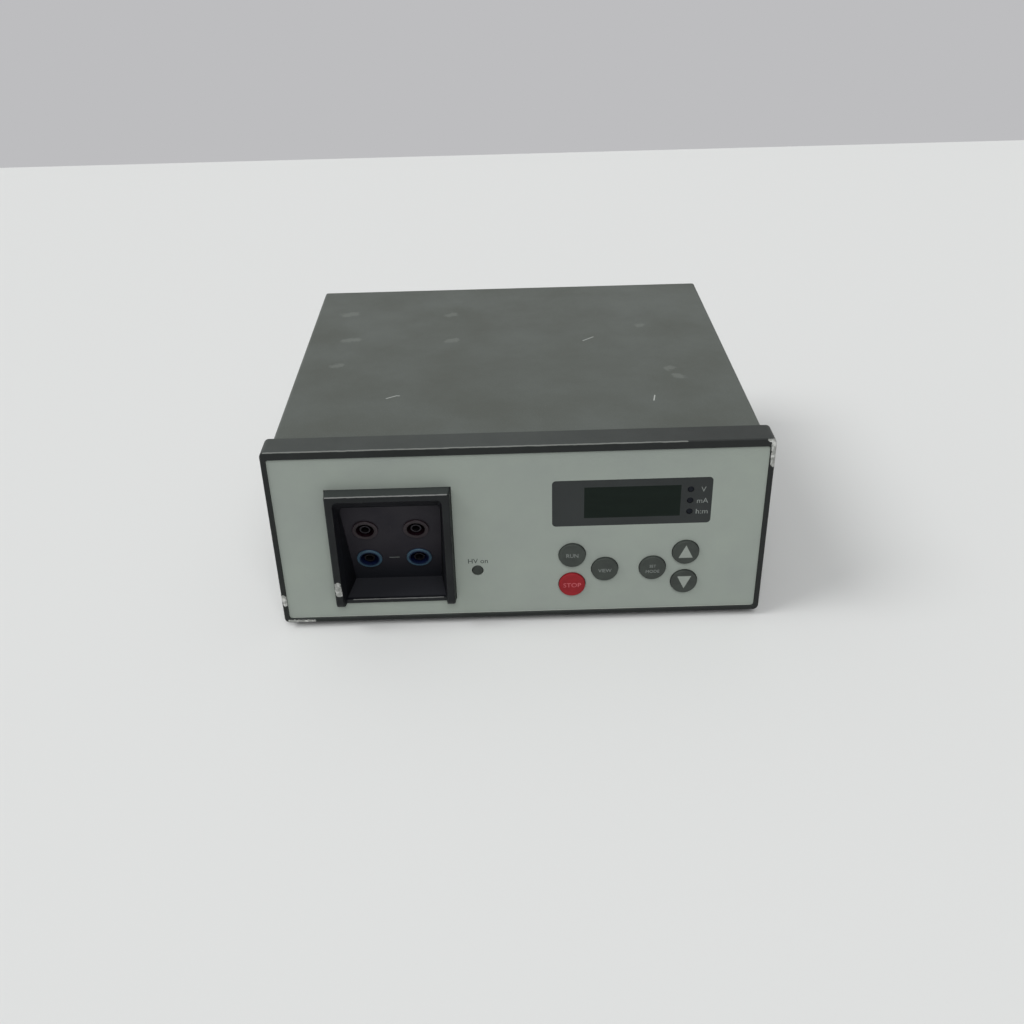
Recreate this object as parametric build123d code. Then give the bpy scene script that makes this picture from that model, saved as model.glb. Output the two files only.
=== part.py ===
from build123d import *
import math
import os

# Electrophoresis power supply for a laboratory bench, in millimetres.
# X runs across the front, Y runs from the front to the rear, Z is up.
# The origin lies on the bench, under the middle of the whole object.

os.makedirs("parts", exist_ok=True)

# Front bezel, a moulded frame that slips over the front of the case
bezel_width = 242.0
bezel_height = 98.5
bezel_depth = 14.2
bezel_wall = 2.85
bezel_corner = 2.8
bezel_edge = 0.8
bezel_rim = 2.5
bezel_top_rim = 4.1
bench_gap = 3.5
plate_setback = 1.4
plate_thickness = 2.5
boss_radius = 3.4
bezel_screw_rise = 6.3

# Sheet-steel case
sheet = 1.2
case_fit = 0.15
case_length = 222.0
sleeve_overlap = 6.0
cover_bend = 1.8
flange_height = 14.0
rear_inset = 1.5
rear_plate = 1.5
slot_count = 12
slot_width = 3.0
slot_length = 26.0
slot_pitch = 7.5
slot_first_x = -20.0
slot_setback = 24.0
tab_gap = 0.5

# Graphic overlay and display
overlay_thickness = 0.6
overlay_fit = 0.15
overlay_corner = 1.3
display_left = 15.7
display_width = 77.1
display_height = 25.5
display_rise = 53.0
display_corner = 2.0
window_offset = 15.5
window_width = 46.5
window_height = 17.1
window_rise = 4.4
window_thickness = 2.6
led_radius = 1.45
led_x = 82.3
led_heights = (71.9, 65.75, 59.6)
lamp_radius = 2.8
lamp_x = -21.5
lamp_rise = 28.7
lamp_proud = 0.3
lamp_dome_share = 0.3

# Six round keys, each place measured from the middle and the bezel's lower edge
key_places = {
    "key_run": (25.6, 36.4),
    "key_stop": (25.6, 19.0),
    "key_view": (41.9, 27.7),
    "key_set": (65.7, 27.7),
    "key_up": (81.8, 36.4),
    "key_down": (81.8, 19.0),
}
key_radius = 6.6
key_gap = 0.3
key_proud = 1.4
key_round = 0.4
key_travel = 0.5
key_flange = 0.9
key_flange_step = 1.2
key_stem_radius = 1.6
key_engage = 1.2
switch_size = 6.0
switch_height = 3.5
switch_hole_gap = 0.35

# Hood and recess for the output sockets
hood_left = -93.1
hood_right = -32.7
hood_draft = 0.6
hood_top = 77.0
hood_bar = 3.1
hood_reach = 7.0
hood_edge = 0.8
hood_corner = 1.2
hood_foot_round = 4.0
rail = 4.3
well_corner = 2.4
sill_rise = 13.9
sill_height = 2.2
sill_proud = 1.2
well_wall = 2.0
well_draft = 9.0
ceiling_slope = 41.0
plate_lean = 16.0
well_depth = 17.7
well_back = 2.5
well_flange = 4.0
well_fit = 0.15

# Shrouded 4 mm safety sockets
socket_bore = 4.0
socket_pitch_x = 25.2
socket_middle_x = -63.9
socket_rows = (15.9, 37.35)
socket_flange_radius = 6.4
socket_flange = 0.8
socket_round = 0.3
socket_shroud_radius = 4.5
socket_barrel_radius = 5.4
socket_barrel = 20.0
socket_floor = 2.5
contact_radius = 2.65
contact_setback = 0.8
contact_tail = 5.0
contact_tail_radius = 1.2
nut_across = 13.6
nut_height = 3.0

# Front board and what it carries
board_thickness = 1.6
front_board_gap = 6.0
front_board_left_gap = 0.9
front_board_right_gap = 10.15
front_board_low_gap = 11.5
front_board_high_gap = 8.0
front_screw_inset = 4.0
display_module_depth = 5.0

# Main board and its pieces
standoff_height = 8.0
standoff_across = 5.5
main_board_half = 95.0
main_board_start = 60.0
main_board_length = 130.0
standoff_inset = 6.0
core_width = 42.0
core_depth = 15.0
core_leg = 7.0
core_window = 10.0
core_x = -12.0
core_y = 52.0
coil_side = 8.0
coil_gap = 0.4
core_lift = 4.0
sink_x = -52.0
sink_y = 104.0
sink_width = 74.0
sink_height = 44.0
sink_base = 4.0
fin_count = 10
fin_thickness = 1.6
fin_depth = 9.0
transistor_count = 3
transistor_pitch = 22.0
capacitor_radius = 11.0
capacitor_height = 40.0
capacitor_round = 1.1
capacitor_places = ((50.0, 36.0), (76.0, 36.0))
choke_x = 66.0
choke_y = 84.0
choke_outer = 14.0
choke_inner = 7.5
choke_height = 11.0
choke_cover = 2.2
choke_split = 5.0
relay_size = (12.0, 28.0, 11.0)
relay_places = ((-80.0, 35.0), (-62.0, 35.0))
film_size = (7.0, 18.0, 14.0)
film_places = ((-44.0, 34.0), (-34.0, 34.0), (40.0, 74.0))
chip_size = (7.0, 20.0, 3.6)
chip_places = ((16.0, 24.0), (16.0, 52.0), (30.0, 38.0))
transistor_body = (10.0, 4.4, 9.2)
transistor_tab = 1.3
transistor_tab_height = 6.4
transistor_lift = 12.0
leg_pitch = 2.5
leg_width = 0.8
leg_thickness = 0.6
header_height = 8.0
header_gap = 1.2
terminal_pitch = 10.3
mains_term_setback = 20.0

# Mains inlet with its fuse drawer
rear_middle = 52.5
inlet_inset = 40.8
inlet_flange_width = 50.0
inlet_flange_height = 36.0
inlet_flange = 3.0
inlet_round = 0.6
inlet_corner = 2.5
inlet_body_width = 27.5
inlet_body_height = 33.0
inlet_body_depth = 27.0
inlet_screw_x = 20.0
cavity_width = 24.4
cavity_height = 16.6
cavity_depth = 16.0
cavity_rise = 6.0
cavity_chamfer = 4.5
pin_width = 2.0
pin_height = 4.0
pin_length = 11.0
pin_spread = 7.0
pin_drop = 2.0
pin_chamfer = 0.5
tab_width = 6.3
tab_thickness = 0.8
tab_length = 8.0
drawer_rise = -10.0
drawer_width = 21.0
drawer_height = 9.6
drawer_depth = 25.0
drawer_gap = 0.3
drawer_face = 2.0
notch_width = 8.4
notch_height = 2.4
notch_depth = 1.0
fuse_radius = 2.6
fuse_glass_radius = 2.4
fuse_length = 20.0
fuse_cap = 5.5
fuse_pitch = 8.0

# Rocker switch for the mains
rocker_spacing = 46.0
rocker_half = 7.2
rocker_middle = 3.2
rocker_width = 9.6
rocker_tilt = 12.0
rocker_gap = 0.35
rocker_pivot_setback = 0.5
rocker_foot = 3.0
rocker_foot_half = 5.0
rocker_pin_radius = 1.25
rocker_pin_gap = 0.05
rocker_pin_reach = 1.2
switch_flange_width = 15.0
switch_flange_height = 21.5
switch_flange = 2.0
switch_round = 0.5
switch_corner = 0.9
switch_body_width = 13.4
switch_body_height = 19.4
switch_body_depth = 15.0

# Cooling fan and its guard
fan_inset = 54.8
fan_size = 60.0
fan_depth = 15.0
fan_corner = 4.0
fan_wall = 1.4
fan_screw_inset = 5.0
blade_count = 7
blade_gap = 0.8
blade_thickness = 1.1
blade_pitch_angle = 38.0
blade_chord = 15.0
hub_radius = 12.5
hub_depth = 10.0
hub_wall = 1.2
motor_radius = 11.0
motor_depth = 7.0
strut_thickness = 2.5
strut_width = 3.5
shaft_radius = 1.5
shaft_gap = 0.05
bearing_wall = 2.0
fan_end_gap = 0.7
guard_wire = 0.8
guard_strap = 1.2
guard_ring_count = 4
guard_ring_pitch = 6.5
guard_ring_gap = 2.25
guard_eye = 4.0
guard_ring_lift = 0.48

# Rubber feet
foot_radius = 8.0
foot_recess_radius = 4.2
foot_recess = 3.0
foot_chamfer = 0.7
foot_inset_x = 24.0
foot_front_setback = 28.0
foot_rear_setback = 26.0

# Screws
m3_radius = 1.5
m3_head_radius = 2.8
m3_head = 2.0
m4_radius = 2.0
m4_head_radius = 3.8
m4_head = 2.4
recess_width = 0.8
head_round = 0.8
screw_reach = 6.0
cover_screw_setbacks = (45.0, 115.0, 196.0)
cover_screw_rise = 8.4
panel_screw_rise = 8.4
panel_screw_spread = 100.0

# Wiring
wire_radius = 1.1
wire_bend = 5.0
wire_corner = 2.0
ribbon_width = 20.0
ribbon_thickness = 1.0
ribbon_bend = 6.0
ribbon_x = 40.0
ribbon_drop = 24.0
earth_setback = 40.0
earth_height = 12.0

# Places worked out from the sizes above
case_width = bezel_width - 2 * (bezel_wall + case_fit)
case_bottom = bench_gap + bezel_wall + case_fit
case_top = bench_gap + bezel_height - bezel_wall - case_fit
overlay_proud = plate_setback - overlay_thickness
tilt = math.radians(rocker_tilt)
rocker_rise = rocker_middle + rocker_half * math.tan(tilt)
rocker_tip = rocker_rise * math.cos(tilt) + rocker_half * math.sin(tilt)
rear_reach = switch_flange - rocker_pivot_setback + rocker_tip - rear_inset
hood_front_reach = hood_reach - overlay_proud
rim_y = -(case_length + rear_reach - hood_front_reach) / 2
overlay_y = rim_y + overlay_proud
plate_y = rim_y + plate_setback
plate_back = plate_y + plate_thickness
bezel_back = rim_y + bezel_depth
hood_front = rim_y - hood_front_reach
case_front = bezel_back - sleeve_overlap
case_rear = rim_y + case_length
panel_out = case_rear - rear_inset
panel_in = panel_out - rear_plate
tray_half = case_width / 2 - sheet
floor_top = case_bottom + sheet
board_front = plate_back + front_board_gap
board_back = board_front + board_thickness
well_floor_y = overlay_y + well_depth
main_low = floor_top + standoff_height
main_top = main_low + board_thickness
main_front = rim_y + main_board_start
main_rear = main_front + main_board_length
inlet_x = tray_half - inlet_inset
rocker_x = inlet_x - rocker_spacing
fan_x = fan_inset - tray_half
fan_half = fan_size / 2
fan_bore = fan_half - fan_wall
fan_offset = fan_half - fan_screw_inset
sleeve_half = case_width / 2 + case_fit


def at_rise(rise):
    """Height above the bench of a place measured up from the bezel's lower edge."""
    return bench_gap + rise


# Outlines that the bezel, the overlay, the hood, the recess and the front board share
inner_left = hood_left + hood_draft + rail - hood_edge
inner_right = hood_right - hood_draft - rail + hood_edge
inner_top = at_rise(hood_top) - hood_bar
sill_top = at_rise(sill_rise)
sill_low = sill_top - sill_height
draft = math.radians(well_draft)
slope = math.radians(ceiling_slope)
lean = math.radians(plate_lean)
hood_run = plate_y - hood_front
collar_left = inner_left + hood_run * math.tan(draft) - well_wall
collar_right = inner_right - hood_run * math.tan(draft) + well_wall
collar_top = inner_top - hood_run * math.tan(slope) + well_wall
collar_low = sill_top - well_wall
front_board_left = collar_right + well_flange + front_board_left_gap
front_board_right = sleeve_half - front_board_right_gap
front_board_low = case_bottom + front_board_low_gap
front_board_high = case_top - front_board_high_gap


def block(x0, x1, y0, y1, z0, z1):
    """Box between two opposite corners."""
    middle = Pos((x0 + x1) / 2, (y0 + y1) / 2, (z0 + z1) / 2)
    return middle * Box(x1 - x0, y1 - y0, z1 - z0)


def rod_x(y, z, x0, x1, radius):
    """Round bar across the object."""
    return Pos((x0 + x1) / 2, y, z) * Rot(0, 90, 0) * Cylinder(radius, x1 - x0)


def rod_y(x, z, y0, y1, radius):
    """Round bar from front to rear."""
    return Pos(x, (y0 + y1) / 2, z) * Rot(90, 0, 0) * Cylinder(radius, y1 - y0)


def rod_z(x, y, z0, z1, radius):
    """Upright round bar."""
    return Pos(x, y, (z0 + z1) / 2) * Cylinder(radius, z1 - z0)


def slab(x0, x1, z0, z1, y0, y1, corner):
    """Plate that faces front, with rounded corners."""
    face_plane = Plane(origin=((x0 + x1) / 2, y0, (z0 + z1) / 2), x_dir=(1, 0, 0), z_dir=(0, 1, 0))
    outline = face_plane * RectangleRounded(x1 - x0, z1 - z0, corner)
    return extrude(outline, y1 - y0)


def section(x0, x1, z0, z1, y, corner):
    """Rounded rectangle in a plane that faces front, for a drafted form."""
    face_plane = Plane(origin=((x0 + x1) / 2, y, (z0 + z1) / 2), x_dir=(1, 0, 0), z_dir=(0, 1, 0))
    return face_plane * RectangleRounded(x1 - x0, z1 - z0, corner)


def pan_screw(reach, radius, head_radius, head):
    """Cross-recess screw that points down, with the underside of its head at the origin."""
    shank = Pos(0, 0, -reach / 2) * Cylinder(radius, reach)
    cap = Pos(0, 0, head / 2) * Cylinder(head_radius, head)
    cap = fillet(cap.edges().group_by(Axis.Z)[-1], head_round)
    arm = Pos(0, 0, head) * Box(head_radius, recess_width, head)
    return shank + cap - arm - Rot(0, 0, 90) * arm


def facing(shape, place, outward):
    """Turn a shape so that its own Z axis points outward, and put it in place."""
    return Plane(origin=place, z_dir=outward).location * shape


def hexagon_bar(x, y, z, across, length, outward):
    """Six-sided bar that starts at a point and runs outward."""
    bar = extrude(RegularPolygon(across / 2, 6, major_radius=False), length)
    return facing(bar, (x, y, z), outward)


def wire_run(points, bend, radius):
    """Round wire through points, with an arc at each corner."""
    route = FilletPolyline(*points, radius=bend)
    end_plane = Plane(origin=route @ 0, z_dir=route % 0)
    return sweep(end_plane * Circle(radius), path=route)


def save(node, *pieces):
    """Write one node, as one solid or as a group of separate solids."""
    solids = [solid for piece in pieces for solid in piece.solids()]
    shape = solids[0] if len(solids) == 1 else Compound(children=solids)
    export_step(shape, os.path.join("parts", node + ".step"))


m3_screw = pan_screw(screw_reach, m3_radius, m3_head_radius, m3_head)

# Base tray: a folded floor with low flanges on all four sides
left_tab = (-tray_half + sheet, collar_left - well_flange - tab_gap)
right_tab = (front_board_left, tray_half - sheet)
tray = block(-tray_half, tray_half, case_front, panel_in, case_bottom, floor_top)
flange_top = case_bottom + flange_height
for side in (-1, 1):
    edges_x = sorted((side * tray_half, side * (tray_half - sheet)))
    tray += block(*edges_x, case_front, panel_in, case_bottom, flange_top)
tray += block(-tray_half, tray_half, panel_in - sheet, panel_in, case_bottom, flange_top)
bezel_screw_z = case_bottom + bezel_screw_rise
front_flange_top = bezel_screw_z + m3_head_radius
for tab in (left_tab, right_tab):
    tray += block(*tab, case_front, case_front + sheet, case_bottom, front_flange_top)
slot_y = rim_y + slot_setback
for number in range(slot_count):
    slot_x = slot_first_x + number * slot_pitch
    half = slot_width / 2
    tray -= block(slot_x - half, slot_x + half, slot_y, slot_y + slot_length, case_bottom, floor_top)

# Places of the screws that go through the tray
bezel_screw_x = tray_half - boss_radius - m3_head_radius
bezel_screw_xs = (-bezel_screw_x, 0.0, bezel_screw_x)
foot_xs = (-(case_width / 2 - foot_inset_x), case_width / 2 - foot_inset_x)
foot_ys = (rim_y + foot_front_setback, case_rear - foot_rear_setback)
cover_screw_z = case_bottom + cover_screw_rise
rear_screw_z = case_bottom + panel_screw_rise
rear_screw_xs = (-panel_screw_spread, 0.0, panel_screw_spread)
for x in bezel_screw_xs:
    tray -= rod_y(x, bezel_screw_z, case_front, case_front + sheet, m3_radius)
for x in foot_xs:
    for y in foot_ys:
        tray -= rod_z(x, y, case_bottom, floor_top, m3_radius)
for x in rear_screw_xs:
    tray -= rod_y(x, rear_screw_z, panel_in - sheet, panel_in, m3_radius)
for setback in cover_screw_setbacks:
    tray -= rod_x(rim_y + setback, cover_screw_z, -tray_half, tray_half, m3_radius)

# Top cover: one sheet folded into a roof and two sides
cover = block(-case_width / 2, case_width / 2, case_front, case_rear, case_bottom, case_top)
roof_edges = cover.edges().filter_by(Axis.Y).group_by(Axis.Z)[-1]
cover = fillet(roof_edges, cover_bend)
hollow = block(-tray_half, tray_half, case_front, case_rear, case_bottom, case_top - sheet)
hollow_edges = hollow.edges().filter_by(Axis.Y).group_by(Axis.Z)[-1]
cover -= fillet(hollow_edges, cover_bend - sheet)
for setback in cover_screw_setbacks:
    cover -= rod_x(rim_y + setback, cover_screw_z, -case_width / 2, case_width / 2, m3_radius)
cover_screws = []
for setback in cover_screw_setbacks:
    for side in (-1, 1):
        place = (side * case_width / 2, rim_y + setback, cover_screw_z)
        cover_screws.append(facing(m3_screw, place, (side, 0, 0)))
save("top_cover", cover)
save("cover_screws", *cover_screws)

# Front bezel: rim, carrying plate, sleeve and bosses in one moulding
bezel_high = bench_gap + bezel_height
bezel = slab(-bezel_width / 2, bezel_width / 2, bench_gap, bezel_high, rim_y, bezel_back, bezel_corner)
bezel = fillet(bezel.edges().group_by(Axis.Y)[0], bezel_edge)
pocket_half = bezel_width / 2 - bezel_rim
pocket_low = bench_gap + bezel_rim
pocket_high = bezel_high - bezel_top_rim
pocket_corner = overlay_corner + overlay_fit
bezel -= slab(-pocket_half, pocket_half, pocket_low, pocket_high, rim_y, plate_y, pocket_corner)
sleeve_low = case_bottom - case_fit
sleeve_high = case_top + case_fit
bezel -= block(-sleeve_half, sleeve_half, plate_back, bezel_back, sleeve_low, sleeve_high)
for x in bezel_screw_xs:
    bezel += rod_y(x, bezel_screw_z, plate_back, case_front, boss_radius)
    bezel -= rod_y(x, bezel_screw_z, case_front + sheet - screw_reach, case_front, m3_radius)
front_screw_xs = (front_board_left + front_screw_inset, front_board_right - front_screw_inset)
front_screw_zs = (front_board_low + front_screw_inset, front_board_high - front_screw_inset)
for x in front_screw_xs:
    for z in front_screw_zs:
        bezel += rod_y(x, z, plate_back, board_front, boss_radius)
        bezel -= rod_y(x, z, board_back - screw_reach, board_front, m3_radius)


# Cut-outs of the plate for the recess, the window, the lamps and the keys
bezel -= slab(
    collar_left - well_fit, collar_right + well_fit, collar_low - well_fit, collar_top + well_fit,
    plate_y, plate_back, well_corner + well_fit,
)
window_left = display_left + window_offset
window_right = window_left + window_width
window_low = at_rise(display_rise + window_rise)
window_high = window_low + window_height
bezel -= block(window_left, window_right, plate_y, plate_back, window_low, window_high)
lamp_z = at_rise(lamp_rise)
bezel -= rod_y(lamp_x, lamp_z, plate_y, plate_back, lamp_radius + overlay_fit)
for rise in led_heights:
    bezel -= rod_y(led_x, at_rise(rise), plate_y, plate_back, led_radius + overlay_fit)
key_hole = key_radius + key_gap
for x, rise in key_places.values():
    bezel -= rod_y(x, at_rise(rise), plate_y, plate_back, key_hole)
save("front_bezel", bezel)

# Graphic overlay: a printed sheet bonded to the plate, cut out for the hood and the keys
overlay = slab(
    -pocket_half + overlay_fit, pocket_half - overlay_fit, pocket_low + overlay_fit, pocket_high - overlay_fit,
    overlay_y, plate_y, overlay_corner,
)
overlay -= block(
    hood_left - overlay_fit, hood_right + overlay_fit, overlay_y, plate_y,
    sill_low - overlay_fit, at_rise(hood_top) + overlay_fit,
)
display_right = display_left + display_width
display_low = at_rise(display_rise)
display_high = display_low + display_height
overlay -= slab(display_left, display_right, display_low, display_high, overlay_y, plate_y, display_corner)
overlay -= rod_y(lamp_x, lamp_z, overlay_y, plate_y, lamp_radius + overlay_fit)
for x, rise in key_places.values():
    overlay -= rod_y(x, at_rise(rise), overlay_y, plate_y, key_hole)
save("front_overlay", overlay)

# Display surround with its filter window
surround = slab(display_left, display_right, display_low, display_high, overlay_y, plate_y, display_corner)
surround -= block(window_left, window_right, overlay_y, plate_y, window_low, window_high)
for rise in led_heights:
    surround -= rod_y(led_x, at_rise(rise), overlay_y, plate_y, led_radius + overlay_fit)
save("display_surround", surround)
window_back = overlay_y + window_thickness
window = block(window_left, window_right, overlay_y, window_back, window_low, window_high)
save("display_window", window)

# Hood that shrouds the sockets: two rails and a top bar, open below, with a sill
hood_high = at_rise(hood_top)
rail_low = sill_low
hood_plans = []
for plan_y, inset in ((plate_y, 0.0), (hood_front, hood_draft)):
    plan_left = hood_left + inset
    plan_right = hood_right - inset
    plan_middle = ((plan_left + plan_right) / 2, plan_y, (rail_low + hood_high) / 2)
    plan_plane = Plane(origin=plan_middle, x_dir=(1, 0, 0), z_dir=(0, 1, 0))
    hood_plans.append(plan_plane * Rectangle(plan_right - plan_left, hood_high - rail_low))
hood = loft(hood_plans, ruled=True)
hood = fillet(hood.edges().group_by(Axis.Y)[1].sort_by(Axis.Z)[-2:], hood_corner)
foot_edge = hood.edges().filter_by(Axis.X).group_by(Axis.Y)[0].sort_by(Axis.Z)[0]
hood = fillet(foot_edge, hood_foot_round)
hood = fillet(hood.edges().group_by(Axis.Y)[0].filter_by(Axis.X).sort_by(Axis.Z)[-1], hood_edge)


# The four faces that bound the recess: leaning back, sloping ceiling and two drafted sides
well_faces = (
    ((0, well_floor_y, sill_top), (0, math.cos(lean), math.sin(lean))),
    ((0, hood_front, inner_top), (0, math.sin(slope), math.cos(slope))),
    ((inner_left, hood_front, 0), (-math.cos(draft), math.sin(draft), 0)),
    ((inner_right, hood_front, 0), (math.cos(draft), math.sin(draft), 0)),
)


def recess_space(front, low, back, grow):
    """Room of the recess behind a front plane, with its back and its other faces moved outward."""
    space = block(hood_left, hood_right, front, main_front, low, hood_high)
    for (place, outward), reach in zip(well_faces, (back, grow, grow, grow)):
        face_plane = Plane(origin=place, z_dir=outward).offset(reach)
        space = split(space, bisect_by=face_plane, keep=Keep.BOTTOM)
    return fillet(space.edges().sort_by(Axis.Z)[-3:-1], well_corner + grow)


hood -= recess_space(hood_front, rail_low - well_corner, 0, 0)
sill_y = overlay_y - sill_proud
hood += block(hood_left + hood_edge, hood_right - hood_edge, sill_y, plate_y, sill_low, sill_top)
save("socket_hood", hood)

# Recess behind the hood, with a flange, closed by a leaning plate that carries the sockets
cavity = recess_space(hood_front, sill_top, 0, 0)
cavity_and_plate = recess_space(hood_front, sill_top, well_back, 0)
well = slab(collar_left, collar_right, collar_low, collar_top, plate_y, plate_back, well_corner)
well += slab(
    collar_left - well_flange, collar_right + well_flange, collar_low - well_wall, collar_top + well_flange,
    plate_back, plate_back + well_wall, well_corner + well_wall,
)
well += recess_space(plate_back, collar_low, well_back, well_wall)
save("socket_recess", well - cavity_and_plate)
socket_plate = cavity_and_plate - cavity
socket_outward = (0, -math.cos(lean), -math.sin(lean))


def on_plate(shape, x, row):
    """Put a shape that points up on the front face of the plate, at a distance up from its foot."""
    place = (x, well_floor_y - row * math.sin(lean), sill_top + row * math.cos(lean))
    return facing(shape, place, socket_outward)


socket_xs = (socket_middle_x - socket_pitch_x / 2, socket_middle_x + socket_pitch_x / 2)
barrel_hole = rod_z(0, 0, -socket_barrel, 0, socket_barrel_radius)
for x in socket_xs:
    for row in socket_rows:
        socket_plate -= on_plate(barrel_hole, x, row)
save("socket_plate", socket_plate)

# Sockets: shroud with flange, tubular contact with a solder tail, and a hexagon nut
socket_body = rod_z(0, 0, 0, socket_flange, socket_flange_radius)
socket_body = fillet(socket_body.edges().group_by(Axis.Z)[-1], socket_round)
socket_body += rod_z(0, 0, -socket_barrel, 0, socket_barrel_radius)
bore_end = socket_floor - socket_barrel
socket_body -= rod_z(0, 0, bore_end, socket_flange, socket_shroud_radius)
socket_body -= rod_z(0, 0, -socket_barrel, bore_end, contact_radius)
contact_front = socket_flange - contact_setback
socket_contact = rod_z(0, 0, -socket_barrel, contact_front, contact_radius)
socket_contact -= rod_z(0, 0, bore_end, contact_front, socket_bore / 2)
socket_contact += rod_z(0, 0, -socket_barrel - contact_tail, -socket_barrel, contact_tail_radius)
nut_rear = -well_back - nut_height
socket_nut = hexagon_bar(0, 0, nut_rear, nut_across, nut_height, (0, 0, 1))
socket_nut -= rod_z(0, 0, nut_rear, -well_back, socket_barrel_radius)
low_row, high_row = socket_rows
save("red_sockets", *[on_plate(socket_body, x, high_row) for x in socket_xs])
save("blue_sockets", *[on_plate(socket_body, x, low_row) for x in socket_xs])
save("socket_contacts", *[on_plate(socket_contact, x, row) for x in socket_xs for row in socket_rows])
save("socket_nuts", *[on_plate(socket_nut, x, row) for x in socket_xs for row in socket_rows])

# Front board behind the plate
front_board = block(
    front_board_left, front_board_right, board_front, board_back,
    front_board_low, front_board_high,
)
front_screws = []
for x in front_screw_xs:
    for z in front_screw_zs:
        front_board -= rod_y(x, z, board_front, board_back, m3_radius)
        front_screws.append(facing(m3_screw, (x, board_back, z), (0, 1, 0)))
save("front_board", front_board)

# Digit display behind the window, its indicator lamps and the high-voltage lamp
module_front = board_front - display_module_depth
module = block(window_left, window_right, module_front, board_front, window_low, window_high)
save("digit_display", module)


def lamp(x, z, radius, front):
    """Domed lamp that stands on the front board."""
    body = rod_y(x, z, front, board_front, radius)
    return fillet(body.edges().group_by(Axis.Y)[0], radius * lamp_dome_share)


save("status_lamps", *[lamp(led_x, at_rise(rise), led_radius, overlay_y) for rise in led_heights])
save("voltage_lamp", lamp(lamp_x, lamp_z, lamp_radius, overlay_y - lamp_proud))

# Push switches on the front board, and the keys whose stems reach into them
switch_front = board_front - switch_height
key_front = overlay_y - key_proud
key_back = plate_back + key_gap
switches = []
for node, (x, rise) in key_places.items():
    z = at_rise(rise)
    half = switch_size / 2
    body = block(x - half, x + half, switch_front, board_front, z - half, z + half)
    hole_depth = key_engage + key_travel + switch_hole_gap
    body -= rod_y(x, z, switch_front, switch_front + hole_depth, key_stem_radius + switch_hole_gap)
    switches.append(body)
    key = rod_y(x, z, key_front, key_back, key_radius)
    key = fillet(key.edges().group_by(Axis.Y)[0], key_round)
    key += rod_y(x, z, key_back, key_back + key_flange, key_radius + key_flange_step)
    key += rod_y(x, z, key_back + key_flange, switch_front + key_engage, key_stem_radius)
    save(node, key)
save("push_switches", *switches)

# Feet, each held by a screw through the floor of the tray
feet = []
foot_screws = []
for x in foot_xs:
    for y in foot_ys:
        foot = rod_z(x, y, 0, case_bottom, foot_radius)
        foot = chamfer(foot.edges().group_by(Axis.Z)[0], foot_chamfer)
        foot -= rod_z(x, y, 0, foot_recess, foot_recess_radius)
        feet.append(foot - rod_z(x, y, foot_recess, case_bottom, m3_radius))
        foot_screws.append(facing(m3_screw, (x, y, foot_recess), (0, 0, -1)))
save("feet", *feet)
save("foot_screws", *foot_screws)

# Rear panel with cut-outs for the inlet, the switch and the fan
rear = block(-tray_half, tray_half, panel_in, panel_out, case_bottom, case_top - sheet)
rear_corner_edges = rear.edges().filter_by(Axis.Y).group_by(Axis.Z)[-1]
rear = fillet(rear_corner_edges, cover_bend - sheet)
inlet_left = inlet_x - inlet_body_width / 2
inlet_right = inlet_x + inlet_body_width / 2
inlet_low = rear_middle - inlet_body_height / 2
inlet_high = rear_middle + inlet_body_height / 2
rear -= block(inlet_left, inlet_right, panel_in, panel_out, inlet_low, inlet_high)
rocker_z = rear_middle
rear -= block(
    rocker_x - switch_body_width / 2, rocker_x + switch_body_width / 2, panel_in, panel_out,
    rocker_z - switch_body_height / 2, rocker_z + switch_body_height / 2,
)
fan_z = rear_middle
rear -= rod_y(fan_x, fan_z, panel_in, panel_out, fan_bore)
inlet_screw_xs = (inlet_x - inlet_screw_x, inlet_x + inlet_screw_x)
for x in inlet_screw_xs:
    rear -= rod_y(x, rear_middle, panel_in, panel_out, m3_radius)
for x in rear_screw_xs:
    rear -= rod_y(x, rear_screw_z, panel_in, panel_out, m3_radius)
fan_corners = [(fan_x + i * fan_offset, fan_z + k * fan_offset) for i in (-1, 1) for k in (-1, 1)]
for x, z in fan_corners:
    rear -= rod_y(x, z, panel_in, panel_out, m4_radius)
save("rear_panel", rear)
panel_screws = [facing(m3_screw, (x, panel_out, rear_screw_z), (0, 1, 0)) for x in rear_screw_xs]
tab_back = case_front + sheet
panel_screws += [facing(m3_screw, (x, tab_back, bezel_screw_z), (0, 1, 0)) for x in bezel_screw_xs]
save("panel_screws", *panel_screws)

# Mains inlet: flange, body, six-sided cavity for the connector and a slot for the drawer
inlet_face = panel_out + inlet_flange
inlet_rear = panel_out - inlet_body_depth
flange_half_x = inlet_flange_width / 2
flange_half_z = inlet_flange_height / 2
inlet = slab(
    inlet_x - flange_half_x, inlet_x + flange_half_x, rear_middle - flange_half_z, rear_middle + flange_half_z,
    panel_out, inlet_face, inlet_corner,
)
inlet = fillet(inlet.edges().group_by(Axis.Y)[-1], inlet_round)
inlet += block(inlet_left, inlet_right, inlet_rear, panel_out, inlet_low, inlet_high)
cavity_z = rear_middle + cavity_rise
cavity_back = inlet_face - cavity_depth
cavity = block(
    inlet_x - cavity_width / 2, inlet_x + cavity_width / 2, cavity_back, inlet_face,
    cavity_z - cavity_height / 2, cavity_z + cavity_height / 2,
)
cavity = chamfer(cavity.edges().filter_by(Axis.Y).group_by(Axis.Z)[-1], cavity_chamfer)
inlet -= cavity
drawer_z = rear_middle + drawer_rise
slot_half_x = drawer_width / 2 + drawer_gap
slot_half_z = drawer_height / 2 + drawer_gap
drawer_back = inlet_face - drawer_depth
inlet -= block(
    inlet_x - slot_half_x, inlet_x + slot_half_x, drawer_back - drawer_gap, inlet_face,
    drawer_z - slot_half_z, drawer_z + slot_half_z,
)
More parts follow.
